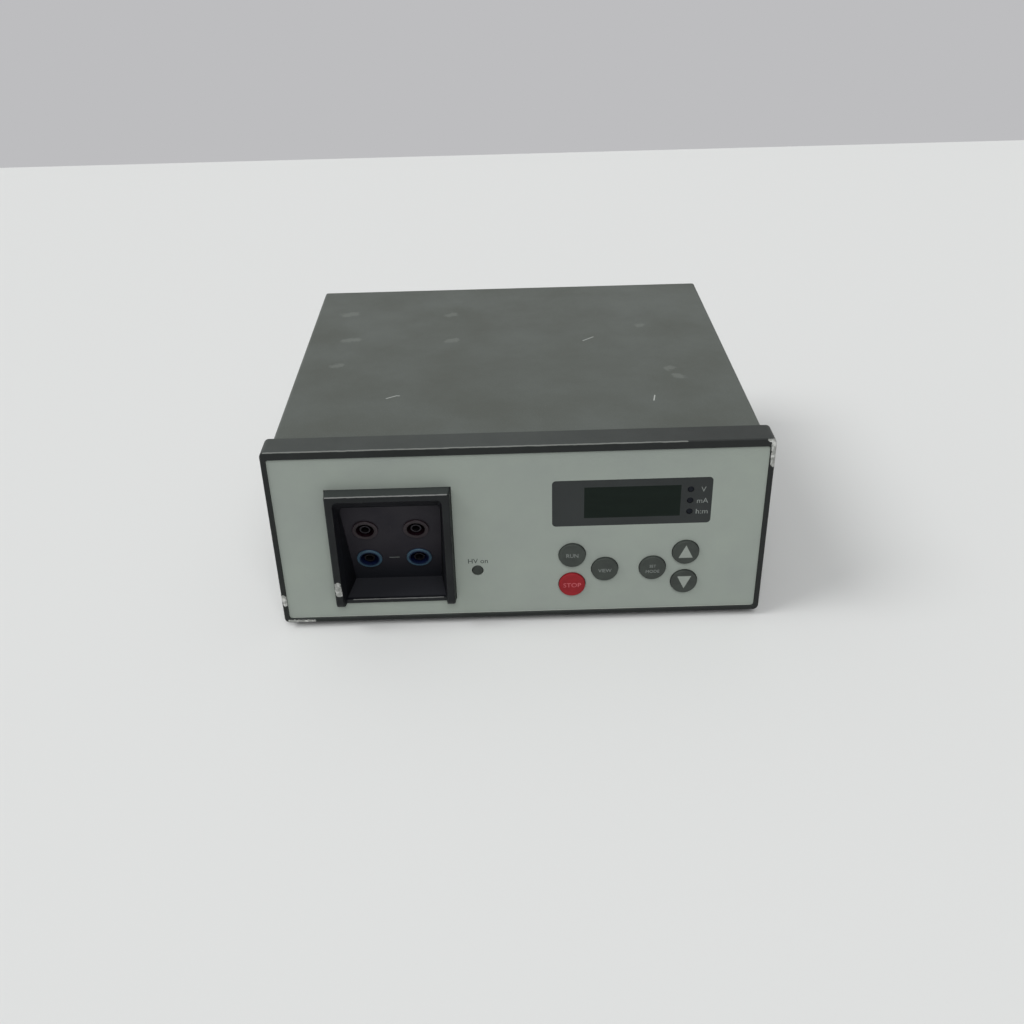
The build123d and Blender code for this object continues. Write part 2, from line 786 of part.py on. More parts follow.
pin_places = (
    (inlet_x - pin_spread, cavity_z - pin_drop),
    (inlet_x + pin_spread, cavity_z - pin_drop),
    (inlet_x, cavity_z + pin_drop),
)
for x, z in pin_places:
    inlet -= block(
        x - pin_width / 2, x + pin_width / 2, inlet_rear, cavity_back,
        z - pin_height / 2, z + pin_height / 2,
    )
for x in inlet_screw_xs:
    inlet -= rod_y(x, rear_middle, panel_out, inlet_face, m3_radius)
save("mains_inlet", inlet)
inlet_screws = [facing(m3_screw, (x, inlet_face, rear_middle), (0, 1, 0)) for x in inlet_screw_xs]
save("inlet_screws", *inlet_screws)

# Contacts of the inlet and of the switch: pins and blade tabs
contacts = []
tab_rear = inlet_rear - tab_length
for x, z in pin_places:
    pin = block(
        x - pin_width / 2, x + pin_width / 2, inlet_rear, cavity_back + pin_length,
        z - pin_height / 2, z + pin_height / 2,
    )
    tip_edges = pin.edges().group_by(Axis.Y)[-1]
    pin = chamfer(tip_edges, pin_chamfer)
    pin += block(
        x - tab_thickness / 2, x + tab_thickness / 2, tab_rear, inlet_rear,
        z - tab_width / 2, z + tab_width / 2,
    )
    contacts.append(pin)
switch_face = panel_out + switch_flange
switch_rear = panel_out - switch_body_depth
switch_tab_zs = (rocker_z - switch_body_height / 4, rocker_z + switch_body_height / 4)
for z in switch_tab_zs:
    contacts.append(block(
        rocker_x - tab_width / 2, rocker_x + tab_width / 2, switch_rear - tab_length, switch_rear,
        z - tab_thickness / 2, z + tab_thickness / 2,
    ))
save("mains_contacts", *contacts)

# Fuse drawer: a tray with two channels, and the fuses that lie in them
drawer = block(
    inlet_x - drawer_width / 2, inlet_x + drawer_width / 2, drawer_back, inlet_face,
    drawer_z - drawer_height / 2, drawer_z + drawer_height / 2,
)
channel_back = drawer_back + (drawer_depth - drawer_face - fuse_length) / 2
channel_front = channel_back + fuse_length
fuse_xs = (inlet_x - fuse_pitch / 2, inlet_x + fuse_pitch / 2)
for x in fuse_xs:
    drawer -= block(
        x - fuse_radius, x + fuse_radius, channel_back, channel_front,
        drawer_z - fuse_radius, drawer_z + drawer_height / 2,
    )
drawer_low = drawer_z - drawer_height / 2
drawer -= block(
    inlet_x - notch_width / 2, inlet_x + notch_width / 2, inlet_face - notch_depth, inlet_face,
    drawer_low, drawer_low + notch_height,
)
save("fuse_drawer", drawer)


def fuse(x):
    """Glass tube with a metal cap at each end."""
    tube = rod_y(x, drawer_z, channel_back, channel_front, fuse_glass_radius)
    tube += rod_y(x, drawer_z, channel_back, channel_back + fuse_cap, fuse_radius)
    return tube + rod_y(x, drawer_z, channel_front - fuse_cap, channel_front, fuse_radius)


save("fuses", *[fuse(x) for x in fuse_xs])

# Rocker switch: frame with a cavity, and the rocker on two short pins
pivot_y = switch_face - rocker_pivot_setback
sweep_radius = math.hypot(rocker_rise, rocker_half) + rocker_gap
frame_half_x = switch_flange_width / 2
frame_half_z = switch_flange_height / 2
frame = slab(
    rocker_x - frame_half_x, rocker_x + frame_half_x, rocker_z - frame_half_z, rocker_z + frame_half_z,
    panel_out, switch_face, switch_corner,
)
frame = fillet(frame.edges().group_by(Axis.Y)[-1], switch_round)
frame += block(
    rocker_x - switch_body_width / 2, rocker_x + switch_body_width / 2, switch_rear, panel_out,
    rocker_z - switch_body_height / 2, rocker_z + switch_body_height / 2,
)
cavity_half = rocker_width / 2 + rocker_gap
frame -= rod_x(pivot_y, rocker_z, rocker_x - cavity_half, rocker_x + cavity_half, sweep_radius)
pin_reach = cavity_half + rocker_pin_reach
pin_hole_radius = rocker_pin_radius + rocker_pin_gap
frame -= rod_x(pivot_y, rocker_z, rocker_x - pin_reach, rocker_x + pin_reach, pin_hole_radius)
save("switch_frame", frame)
rocker_side = (rocker_x - rocker_width / 2, pivot_y, rocker_z)
rocker_plane = Plane(origin=rocker_side, x_dir=(0, 1, 0), z_dir=(1, 0, 0))
rocker_outline = Polyline(
    (-rocker_foot, -rocker_foot_half),
    (rocker_rise, -rocker_half),
    (rocker_middle, 0),
    (rocker_rise, rocker_half),
    (-rocker_foot, rocker_foot_half),
    close=True,
)
rocker = extrude(rocker_plane * make_face(rocker_outline), rocker_width)
pin_half = pin_reach - rocker_pin_gap
rocker += rod_x(pivot_y, rocker_z, rocker_x - pin_half, rocker_x + pin_half, rocker_pin_radius)
hinge_line = Axis((rocker_x, pivot_y, rocker_z), (1, 0, 0))
rocker = rocker.rotate(hinge_line, -rocker_tilt)
save("switch_rocker", rocker)

# Fan frame: square case with a round bore, corner holes, struts and a motor seat
fan_rear = panel_in
fan_front = fan_rear - fan_depth
fan_frame = slab(
    fan_x - fan_half, fan_x + fan_half, fan_z - fan_half, fan_z + fan_half,
    fan_front, fan_rear, fan_corner,
)
fan_frame -= rod_y(fan_x, fan_z, fan_front, fan_rear, fan_bore)
for x, z in fan_corners:
    fan_frame -= rod_y(x, z, fan_front, fan_rear, m4_radius)
strut_back = fan_front + strut_thickness
seat = rod_y(fan_x, fan_z, fan_front, strut_back, motor_radius)
strut_axis = Axis((fan_x, fan_front, fan_z), (0, 1, 0))
for number in range(3):
    strut = block(
        fan_x, fan_x + fan_bore + guard_wire, fan_front, strut_back,
        fan_z - strut_width / 2, fan_z + strut_width / 2,
    )
    seat += strut.rotate(strut_axis, 90 + 120 * number)
bearing_end = strut_back + motor_depth
bearing_radius = shaft_radius + shaft_gap + bearing_wall
fan_frame += seat
fan_frame += rod_y(fan_x, fan_z, strut_back, bearing_end, bearing_radius)
fan_frame -= rod_y(fan_x, fan_z, strut_back, bearing_end, shaft_radius + shaft_gap)
save("fan_frame", fan_frame)
stator_radius = hub_radius - hub_wall - fan_end_gap
stator = rod_y(fan_x, fan_z, strut_back, strut_back + motor_depth - fan_end_gap, stator_radius)
stator -= rod_y(fan_x, fan_z, strut_back, strut_back + motor_depth - fan_end_gap, bearing_radius)
save("fan_stator", stator)

# Fan rotor: cup-shaped hub, inclined blades and the shaft
hub_front = strut_back + fan_end_gap
hub_rear = hub_front + hub_depth
hub = rod_y(fan_x, fan_z, hub_front, hub_rear, hub_radius)
hub = fillet(hub.edges().group_by(Axis.Y)[-1], hub_wall)
hub -= rod_y(fan_x, fan_z, hub_front, hub_rear - hub_wall, hub_radius - hub_wall)
blade_reach = fan_bore - blade_gap
blade_length = blade_reach - hub_radius + hub_wall
blade_y = (hub_front + hub_rear) / 2
blade_ring = rod_y(fan_x, fan_z, hub_front, hub_rear, blade_reach)
blade_ring -= rod_y(fan_x, fan_z, hub_front, hub_rear, hub_radius - hub_wall / 2)
rotor_axis = Axis((fan_x, blade_y, fan_z), (0, 1, 0))
blade = Rot(blade_pitch_angle, 0, 0) * Box(blade_length, blade_thickness, blade_chord)
blade = Pos(fan_x + hub_radius - hub_wall + blade_length / 2, blade_y, fan_z) * blade
rotor = hub
for number in range(blade_count):
    turned = blade.rotate(rotor_axis, 360 * number / blade_count)
    rotor += turned & blade_ring
shaft_front = strut_back + fan_end_gap
rotor += rod_y(fan_x, fan_z, shaft_front, hub_rear - hub_wall / 2, shaft_radius)
save("fan_rotor", rotor)

# Finger guard: wire rings welded to two flat cross straps that end in eyes
strap_face = panel_out + guard_strap
ring_y = strap_face + guard_ring_lift
diagonal = math.hypot(fan_offset, fan_offset)
guard_axis = Axis((fan_x, panel_out, fan_z), (0, 1, 0))
strap = block(
    fan_x - diagonal, fan_x + diagonal, panel_out, strap_face,
    fan_z - guard_strap, fan_z + guard_strap,
)
guard = strap.rotate(guard_axis, 45) + strap.rotate(guard_axis, 135)
for x, z in fan_corners:
    guard += rod_y(x, z, panel_out, strap_face, guard_eye)
outer_ring = diagonal - m4_head_radius - guard_wire - guard_ring_gap
for number in range(guard_ring_count):
    ring = Torus(outer_ring - number * guard_ring_pitch, guard_wire)
    guard += Pos(fan_x, ring_y, fan_z) * Rot(90, 0, 0) * ring
for x, z in fan_corners:
    guard -= rod_y(x, z, panel_out, strap_face, m4_radius)
save("fan_guard", guard)
m4_screw = pan_screw(screw_reach + rear_plate, m4_radius, m4_head_radius, m4_head)
fan_screws = [facing(m4_screw, (x, strap_face, z), (0, 1, 0)) for x, z in fan_corners]
save("fan_screws", *fan_screws)

# Main board on six standoffs
main_board = block(-main_board_half, main_board_half, main_front, main_rear, main_low, main_top)
standoff_xs = (-(main_board_half - standoff_inset), 0.0, main_board_half - standoff_inset)
standoff_ys = (main_front + standoff_inset, main_rear - standoff_inset)
standoffs = []
board_screws = []
for x in standoff_xs:
    for y in standoff_ys:
        main_board -= rod_z(x, y, main_low, main_top, m3_radius)
        post = hexagon_bar(x, y, floor_top, standoff_across, standoff_height, (0, 0, 1))
        standoffs.append(post - rod_z(x, y, floor_top, main_low, m3_radius))
        board_screws.append(facing(m3_screw, (x, y, main_top), (0, 0, 1)))
save("main_board", main_board)
save("board_standoffs", *standoffs)
save("board_screws", *board_screws, *front_screws)

# Switching transformer: a closed core with a middle leg, and the coil round that leg
core_mid_y = main_front + core_y
core_low = main_top + core_lift
core_high = core_low + core_width
core_half = core_width / 2
leg_half = core_half - core_leg - core_window
core = block(
    core_x - core_half, core_x + core_half, core_mid_y - core_depth / 2, core_mid_y + core_depth / 2,
    core_low, core_high,
)
window_bottom = core_low + core_leg
window_top = core_high - core_leg
for side in (-1, 1):
    opening_x = sorted((core_x + side * leg_half, core_x + side * (leg_half + core_window)))
    core -= block(
        *opening_x, core_mid_y - core_depth / 2, core_mid_y + core_depth / 2, window_bottom, window_top,
    )
coil_half_x = leg_half + core_window - coil_gap
coil_half_y = core_depth / 2 + coil_side
coil = block(
    core_x - coil_half_x, core_x + coil_half_x, core_mid_y - coil_half_y, core_mid_y + coil_half_y,
    window_bottom, window_top,
)
coil = fillet(coil.edges().filter_by(Axis.Z), coil_side / 2)
coil -= block(
    core_x - leg_half, core_x + leg_half, core_mid_y - core_depth / 2, core_mid_y + core_depth / 2,
    window_bottom, window_top,
)
shoe_half_y = coil_half_y - coil_gap
for side in (-1, 1):
    shoe_y = sorted((core_mid_y + side * core_depth / 2, core_mid_y + side * shoe_half_y))
    coil += block(core_x - leg_half, core_x + leg_half, *shoe_y, main_top, window_bottom)
save("transformer_core", core)
save("transformer_coil", coil)

# Heat sink with fins, and the power transistors screwed to it
sink_front = main_front + sink_y
sink_face = sink_front + sink_base
sink_left = sink_x - sink_width / 2
sink_right = sink_x + sink_width / 2
sink_high = main_top + sink_height
sink = block(sink_left, sink_right, sink_front, sink_face, main_top, sink_high)
fin_step = (sink_width - fin_thickness) / (fin_count - 1)
for number in range(fin_count):
    fin_left = sink_left + number * fin_step
    sink += block(fin_left, fin_left + fin_thickness, sink_face, sink_face + fin_depth, main_top, sink_high)
transistors = []
transistor_screws = []
for number in range(transistor_count):
    x = sink_x + (number - (transistor_count - 1) / 2) * transistor_pitch
    low = main_top + transistor_lift
    body_top = low + transistor_body[2]
    tab_top = body_top + transistor_tab_height
    half = transistor_body[0] / 2
    item = block(x - half, x + half, sink_front - transistor_body[1], sink_front, low, body_top)
    item += block(x - half, x + half, sink_front - transistor_tab, sink_front, body_top, tab_top)
    hole_z = body_top + transistor_tab_height / 2
    item -= rod_y(x, hole_z, sink_front - transistor_tab, sink_front, m3_radius)
    for leg in (-1, 0, 1):
        leg_left = x + leg * leg_pitch - leg_width / 2
        leg_front = sink_front - transistor_body[1] / 2
        item += block(leg_left, leg_left + leg_width, leg_front, leg_front + leg_thickness, main_top, low)
    transistors.append(item)
    short_screw = pan_screw(transistor_tab + sink_base, m3_radius, m3_head_radius, m3_head)
    transistor_screws.append(facing(short_screw, (x, sink_front - transistor_tab, hole_z), (0, -1, 0)))
    sink -= rod_y(x, hole_z, sink_front, sink_face, m3_radius)
save("heat_sink", sink)
save("power_transistors", *transistors)
save("transistor_screws", *transistor_screws)

# Capacitors, choke, relays, chips and connectors that stand on the main board
cans = []
for x, setback in capacitor_places:
    can = rod_z(x, main_front + setback, main_top, main_top + capacitor_height, capacitor_radius)
    cans.append(fillet(can.edges().group_by(Axis.Z)[-1], capacitor_round))
save("bulk_capacitors", *cans)


def board_blocks(places, size):
    """Plain rectangular components that stand on the main board."""
    items = []
    for x, setback in places:
        y = main_front + setback
        items.append(block(
            x - size[0] / 2, x + size[0] / 2, y - size[1] / 2, y + size[1] / 2, main_top, main_top + size[2],
        ))
    return items


save("output_relays", *board_blocks(relay_places, relay_size))
save("film_capacitors", *board_blocks(film_places, film_size))
save("control_chips", *board_blocks(chip_places, chip_size))
choke_mid_y = main_front + choke_y
choke_low = main_top + choke_cover
choke_high = choke_low + choke_height
choke_core = rod_z(choke_x, choke_mid_y, choke_low, choke_high, choke_outer)
choke_core -= rod_z(choke_x, choke_mid_y, choke_low, choke_high, choke_inner)
choke_top = choke_high + choke_cover
choke_coil = rod_z(choke_x, choke_mid_y, main_top, choke_top, choke_outer + choke_cover)
choke_coil -= rod_z(choke_x, choke_mid_y, main_top, choke_top, choke_inner - choke_cover)
choke_coil -= choke_core
coil_reach = choke_outer + 2 * choke_cover
choke_coil -= block(
    choke_x - choke_split, choke_x + choke_split, choke_mid_y - coil_reach, choke_mid_y + coil_reach,
    main_top, choke_top,
)
save("choke_core", choke_core)
save("choke_coil", choke_coil)

# Connectors: ribbon headers on both boards, terminals for the mains, the outputs and the fan
ribbon_half = ribbon_width / 2
half_header = header_height / 2
front_header_z = front_board_high - ribbon_drop
front_header_rear = board_back + header_height
main_header_y = main_front + standoff_inset + m3_head_radius + header_gap + half_header
output_term_y = main_header_y
mains_term_y = main_rear - mains_term_setback
fan_term_x = fan_x + fan_half
fan_term_y = main_rear - header_height
header_top = main_top + header_height
headers = [
    block(
        ribbon_x - ribbon_half, ribbon_x + ribbon_half, board_back, front_header_rear,
        front_header_z - half_header, front_header_z + half_header,
    ),
    block(
        ribbon_x - ribbon_half, ribbon_x + ribbon_half, main_header_y - half_header,
        main_header_y + half_header, main_top, header_top,
    ),
]
output_span = 2 * terminal_pitch
output_term_x = socket_middle_x
headers.append(block(
    output_term_x - output_span, output_term_x + output_span, output_term_y - half_header,
    output_term_y + half_header, main_top, header_top,
))
mains_term_x = rocker_x + header_height
headers.append(block(
    mains_term_x - 2 * header_height, mains_term_x + 2 * header_height, mains_term_y - half_header,
    mains_term_y + half_header, main_top, header_top,
))
headers.append(block(
    fan_term_x - half_header, fan_term_x + half_header, fan_term_y - half_header,
    fan_term_y + half_header, main_top, header_top,
))
save("board_connectors", *headers)

# Ribbon cable between the two boards
ribbon_points = (
    (ribbon_x, front_header_rear, front_header_z),
    (ribbon_x, main_header_y, front_header_z),
    (ribbon_x, main_header_y, header_top),
)
ribbon_route = FilletPolyline(*ribbon_points, radius=ribbon_bend)
ribbon_plane = Plane(origin=ribbon_route @ 0, x_dir=(1, 0, 0), z_dir=ribbon_route % 0)
ribbon_section = ribbon_plane * Rectangle(ribbon_width - ribbon_thickness, ribbon_thickness)
ribbon = sweep(ribbon_section, path=ribbon_route)
save("ribbon_cable", ribbon)

# Output wires from the socket tails to the output terminal
output_wires = []
first_end_x = output_term_x - 3 * terminal_pitch / 2
tail_reach = socket_barrel + contact_tail
for i, x in enumerate(socket_xs):
    for k, row in enumerate(socket_rows):
        end_x = first_end_x + (2 * i + k) * terminal_pitch
        tail_y = well_floor_y - row * math.sin(lean) + tail_reach * math.cos(lean)
        tail_z = sill_top + row * math.cos(lean) + tail_reach * math.sin(lean)
        start = (x, tail_y, tail_z)
        first_z = tail_z + wire_bend * math.sin(lean)
        first = (x, tail_y + wire_bend * math.cos(lean), first_z)
        knee = (end_x, output_term_y, first_z)
        end = (end_x, output_term_y, header_top)
        output_wires.append(wire_run((start, first, knee, end), wire_corner, wire_radius))
save("output_wires", *output_wires)

# Earth stud with its nut, in the floor of the tray
earth_x = (main_board_half + tray_half) / 2
earth_y = main_rear - earth_setback
earth_top = floor_top + earth_height
earth_stud = rod_z(earth_x, earth_y, floor_top, earth_top, m4_radius)
earth_stud += hexagon_bar(earth_x, earth_y, floor_top, 2 * m4_head_radius, nut_height, (0, 0, 1))
save("earth_stud", earth_stud)
save("base_tray", tray)

# Mains wires: inlet to switch, switch to board, inlet to board, and the earth lead
line_tab, neutral_tab, earth_tab = [(x, tab_rear, z) for x, z in pin_places]
low_tab, high_tab = [(rocker_x, switch_rear - tab_length, z) for z in switch_tab_zs]
lane_y = tab_rear - 2 * wire_bend
neutral_x = mains_term_x + header_height
mains_routes = [
    (line_tab, (line_tab[0], lane_y, line_tab[2]), (rocker_x, lane_y, high_tab[2]), high_tab),
    (low_tab, (rocker_x, mains_term_y, low_tab[2]), (rocker_x, mains_term_y, header_top)),
    (
        neutral_tab,
        (neutral_tab[0], lane_y - wire_bend, neutral_tab[2]),
        (neutral_x, mains_term_y, neutral_tab[2]),
        (neutral_x, mains_term_y, header_top),
    ),
    (
        earth_tab,
        (earth_tab[0], lane_y, earth_tab[2]),
        (earth_x, earth_y, earth_tab[2]),
        (earth_x, earth_y, earth_top),
    ),
]
save("mains_wires", *[wire_run(route, wire_corner, wire_radius) for route in mains_routes])
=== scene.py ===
import math
import bpy
import bmesh
from mathutils import Matrix, Vector


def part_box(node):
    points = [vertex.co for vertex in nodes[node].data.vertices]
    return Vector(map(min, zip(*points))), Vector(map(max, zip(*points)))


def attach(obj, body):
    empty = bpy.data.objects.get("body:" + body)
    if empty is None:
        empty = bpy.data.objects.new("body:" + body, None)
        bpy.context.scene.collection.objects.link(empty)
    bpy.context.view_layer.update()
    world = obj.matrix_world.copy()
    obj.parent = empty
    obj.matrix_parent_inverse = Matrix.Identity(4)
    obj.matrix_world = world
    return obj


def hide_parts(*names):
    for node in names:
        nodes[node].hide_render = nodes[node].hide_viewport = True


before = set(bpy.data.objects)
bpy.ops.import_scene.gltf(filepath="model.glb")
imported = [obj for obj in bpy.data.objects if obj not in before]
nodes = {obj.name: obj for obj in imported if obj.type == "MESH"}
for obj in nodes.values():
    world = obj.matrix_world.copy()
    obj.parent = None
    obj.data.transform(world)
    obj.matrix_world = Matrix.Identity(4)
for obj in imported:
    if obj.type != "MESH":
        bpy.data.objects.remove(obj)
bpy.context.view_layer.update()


# Camera and light
# A camera stands in front of the bench unit and a little above it, turned down by thirty-one degrees.
# Soft daylight falls from the upper left, a wider light from the front, in a pale room.
RIM_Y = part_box("front_bezel")[0].y
RIM_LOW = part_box("front_bezel")[0].z
CAMERA_PLACE = Vector((-0.0061, RIM_Y - 0.4525, RIM_LOW + 0.3363))
CAMERA_YAW = math.radians(0.31)
CAMERA_PITCH = math.radians(31.17)
CAMERA_ROLL = math.radians(-1.48)
FOCAL_PIXELS = 1096.7
IMAGE_PIXELS = 1024
scene = bpy.context.scene
camera_data = bpy.data.cameras.new("camera")
camera_data.sensor_width = 36.0
camera_data.lens = FOCAL_PIXELS * camera_data.sensor_width / IMAGE_PIXELS
camera_data.clip_start = 0.01
camera = bpy.data.objects.new("camera", camera_data)
scene.collection.objects.link(camera)
turned_down = Matrix.Rotation(math.pi / 2 - CAMERA_PITCH, 4, "X")
turn = Matrix.Rotation(-CAMERA_YAW, 4, "Z") @ turned_down @ Matrix.Rotation(CAMERA_ROLL, 4, "Z")
camera.matrix_world = Matrix.Translation(CAMERA_PLACE) @ turn
scene.camera = camera
scene.view_settings.view_transform = "Standard"


def add_sun(name, came_from, spread, strength):
    """Soft distant light that comes from a direction, with a spread in degrees."""
    data = bpy.data.lights.new(name, "SUN")
    data.angle = math.radians(spread)
    data.energy = strength
    sun = bpy.data.objects.new(name, data)
    scene.collection.objects.link(sun)
    sun.rotation_euler = Vector(came_from).to_track_quat("Z", "Y").to_euler()


add_sun("daylight_left", (-1.3, -0.3, 1.5), 28.0, 1.25)
add_sun("room_front", (0.1, -1.25, 1.4), 36.0, 1.5)


def linear(hex_colour):
    """Turn an sRGB hex colour into the linear colour that a shader takes."""
    parts = [int(hex_colour[i:i + 2], 16) / 255 for i in (1, 3, 5)]
    return [p / 12.92 if p <= 0.04045 else ((p + 0.055) / 1.055) ** 2.4 for p in parts] + [1.0]


def join(tree, node, links):
    """Set or link inputs by name, or as i and a number; a node stands for its first output."""
    for key, value in links.items():
        socket = node.inputs[int(key[1:])] if key[1:].isdigit() else node.inputs[key.replace("_", " ")]
        if isinstance(value, bpy.types.Node):
            value = value.outputs[0]
        if isinstance(value, bpy.types.NodeSocket):
            tree.links.new(value, socket)
        else:
            socket.default_value = value


def add_node(tree, kind, settings=None, **links):
    """Add a node to a tree, a shader node unless its kind says otherwise, with its properties and inputs."""
    node = tree.nodes.new(kind if "Node" in kind else "ShaderNode" + kind)
    for key, value in (settings or {}).items():
        setattr(node, key, value)
    join(tree, node, links)
    return node


world = bpy.data.worlds.new("studio")
scene.world = world
world.use_nodes = True
tree = world.node_tree
tree.nodes.clear()
rays = add_node(tree, "LightPath").outputs
direction = add_node(tree, "TexCoord").outputs["Generated"]
way = add_node(tree, "SeparateXYZ", Vector=direction)
depth = add_node(tree, "MapRange", Value=way.outputs["Y"], From_Min=-0.6, From_Max=0.6, To_Min=0.3,
                 To_Max=0.8)
left_and_up = add_node(tree, "VectorMath", {"operation": "DOT_PRODUCT"}, i0=direction, i1=(-0.6, 0.0, 0.8))
bright = add_node(tree, "MapRange", Value=left_and_up.outputs["Value"], From_Min=-0.2, From_Max=0.8,
                  To_Min=0.08, To_Max=0.62)
diffuse_room = add_node(tree, "Background", Color=linear("#F1F2F3"), Strength=bright)
mirrored_room = add_node(tree, "Background", Color=linear("#F1F1F0"), Strength=depth)
far_wall = add_node(tree, "Background", Color=linear("#BDBDBF"), Strength=1.0)
mix = add_node(tree, "MixShader", Fac=rays["Is Glossy Ray"], i1=diffuse_room, i2=mirrored_room)
mix = add_node(tree, "MixShader", Fac=rays["Is Camera Ray"], i1=mix, i2=far_wall)
add_node(tree, "OutputWorld", Surface=mix)


# Floor
# A plain pale bench under the unit that runs back to a grey wall, and that keeps the unit's shadow.
# It is matt and near white.
def feed(material, **links):
    """Set or link inputs of a material's principled shader."""
    join(material.node_tree, material.node_tree.nodes["Principled BSDF"], links)


def finish_material(name, colour, roughness, metallic=0.0, gloss=0.5):
    """New material with one principled shader, whose plain values are set on its own sockets."""
    material = bpy.data.materials.new(name)
    material.use_nodes = True
    feed(material, Base_Color=linear(colour), Roughness=roughness, Metallic=metallic,
         Specular_IOR_Level=gloss)
    return material


FLOOR_HALF = 4.0
FLOOR_REACH = 1.008
floor_mesh = bpy.data.meshes.new("floor")
floor_back = RIM_Y + FLOOR_REACH
floor_mesh.from_pydata(
    [(-FLOOR_HALF, -FLOOR_HALF, 0), (FLOOR_HALF, -FLOOR_HALF, 0), (FLOOR_HALF, floor_back, 0),
     (-FLOOR_HALF, floor_back, 0)], [], [(0, 1, 2, 3)],
)
floor = bpy.data.objects.new("floor", floor_mesh)
scene.collection.objects.link(floor)
floor_mesh.materials.append(finish_material("pale_floor", "#D9DAD9", 0.7, gloss=0.1))


# Base tray
# The floor of the case is a tray of 1.2 mm sheet steel, cut, folded and then powder coated.
# Powder coat has a low, even sheen over a fine pebbled grain, a little darker where hands and dust reach.
def dress(node_names, material):
    """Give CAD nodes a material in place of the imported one."""
    for name in node_names:
        nodes[name].data.materials.clear()
        nodes[name].data.materials.append(material)


def pebbled_finish(name, colour, second, roughness, grain, depth, metallic=0.0, patch=0.035, gloss=0.5):
    """Finish that drifts between two near colours in soft patches, over a fine grain in its bump."""
    material = finish_material(name, colour, roughness, metallic, gloss)
    tree = material.node_tree
    place = add_node(tree, "TexCoord").outputs["Object"]
    cloud = add_node(tree, "TexNoise", Vector=place, Scale=1 / patch, Detail=5.0, Roughness=0.6)
    spread = add_node(tree, "MapRange", Value=cloud, From_Min=0.36, From_Max=0.64)
    tint = add_node(tree, "Mix", {"data_type": "RGBA"}, i0=spread, i6=linear(colour), i7=linear(second))
    fine = add_node(tree, "TexNoise", Vector=place, Scale=1 / grain, Detail=2.0)
    sheen = add_node(tree, "MapRange", Value=cloud, From_Min=0.3, From_Max=0.7, To_Min=roughness - 0.05,
                     To_Max=min(roughness + 0.07, 1.0))
    relief = add_node(tree, "Bump", Height=fine, Strength=0.6, Distance=depth)
    feed(material, Base_Color=tint.outputs[2], Roughness=sheen, Normal=relief)
    return material


def lay_over(material, mask, colour, share=1.0):
    """Put a second colour over a material's present colour where a mask says so."""
    tree = material.node_tree
    amount = add_node(tree, "Math", {"operation": "MULTIPLY"}, i0=mask, i1=share)
    under = tree.nodes["Principled BSDF"].inputs["Base Color"].links[0].from_socket
    over = add_node(tree, "Mix", {"data_type": "RGBA"}, i0=amount, i6=under, i7=linear(colour))
    feed(material, Base_Color=over.outputs[2])


def edge_wear_and_highlight(material, width, patch, colour, share):
    """Lay a colour along sharp edges, broken by noise into worn and sound stretches; on some parts the pale
    edge is also a painted highlight.
    """
    tree = material.node_tree
    rounded = add_node(tree, "Bevel", {"samples": 4}, Radius=width)
    agree = add_node(tree, "VectorMath", {"operation": "DOT_PRODUCT"}, i0=rounded,
                     i1=add_node(tree, "NewGeometry").outputs["Normal"])
    near_edge = add_node(tree, "MapRange", Value=agree.outputs["Value"], From_Min=0.97, From_Max=0.8)
    breaks = add_node(tree, "TexNoise", Vector=add_node(tree, "TexCoord").outputs["Object"], Scale=1 / patch,
                      Detail=6.0, Roughness=0.7)
    stretch = add_node(tree, "MapRange", Value=breaks, From_Min=0.48, From_Max=0.62)
    mask = add_node(tree, "Math", {"operation": "MULTIPLY"}, i0=near_edge, i1=stretch)
    lay_over(material, mask, colour, share)


tray_paint = pebbled_finish("powder_coated_steel", "#565B56", "#50554F", 0.5, 0.0004, 0.00006, gloss=0.25)
edge_wear_and_highlight(tray_paint, 0.0006, 0.004, "#7C807B", 0.5)
dress(["base_tray"], tray_paint)

# Feet
# Four moulded rubber feet with a recess for the screw.
# Rubber is matt and very dark, with grey dust held in its fine skin.
dress(["feet"], pebbled_finish("moulded_rubber", "#1F1F1E", "#2A2A29", 0.8, 0.0005, 0.00008, patch=0.006))

# Main board and its standoffs
# Glass epoxy board with green solder mask over copper tracks, held on hexagon spacers of plated brass.
# The mask is glossy, tracks show as paler green lines under it, and tinned pads as small bright dots.
PAD_PITCH = 0.0046
board_green = finish_material("solder_masked_board", "#1F5A34", 0.32)
tree = board_green.node_tree
place = add_node(tree, "TexCoord").outputs["Object"]
tracks = add_node(tree, "TexBrick", {"offset": 0.37, "squash": 0.6, "squash_frequency": 3}, Vector=place,
                  Color1=(0, 0, 0, 1), Color2=(0.25, 0.25, 0.25, 1), Mortar=(1, 1, 1, 1), Scale=1.0,
                  Mortar_Size=0.00035, Brick_Width=0.014, Row_Height=0.0019)
pads = add_node(tree, "TexVoronoi", Vector=place, Scale=1 / PAD_PITCH, Randomness=0.35)
pad_spot = add_node(tree, "MapRange", Value=pads.outputs["Distance"], From_Min=0.24, From_Max=0.2)
masked = add_node(tree, "Mix", {"data_type": "RGBA"}, i0=tracks, i6=linear("#1B5230"), i7=linear("#3B8453"))
tinned = add_node(tree, "Mix", {"data_type": "RGBA"}, i0=pad_spot, i6=masked.outputs[2],
                  i7=linear("#B9BDBB"))
relief = add_node(tree, "Bump", Height=tracks, Strength=0.5, Distance=0.00004)
feed(board_green, Base_Color=tinned.outputs[2], Metallic=pad_spot, Normal=relief)
dress(["main_board"], board_green)


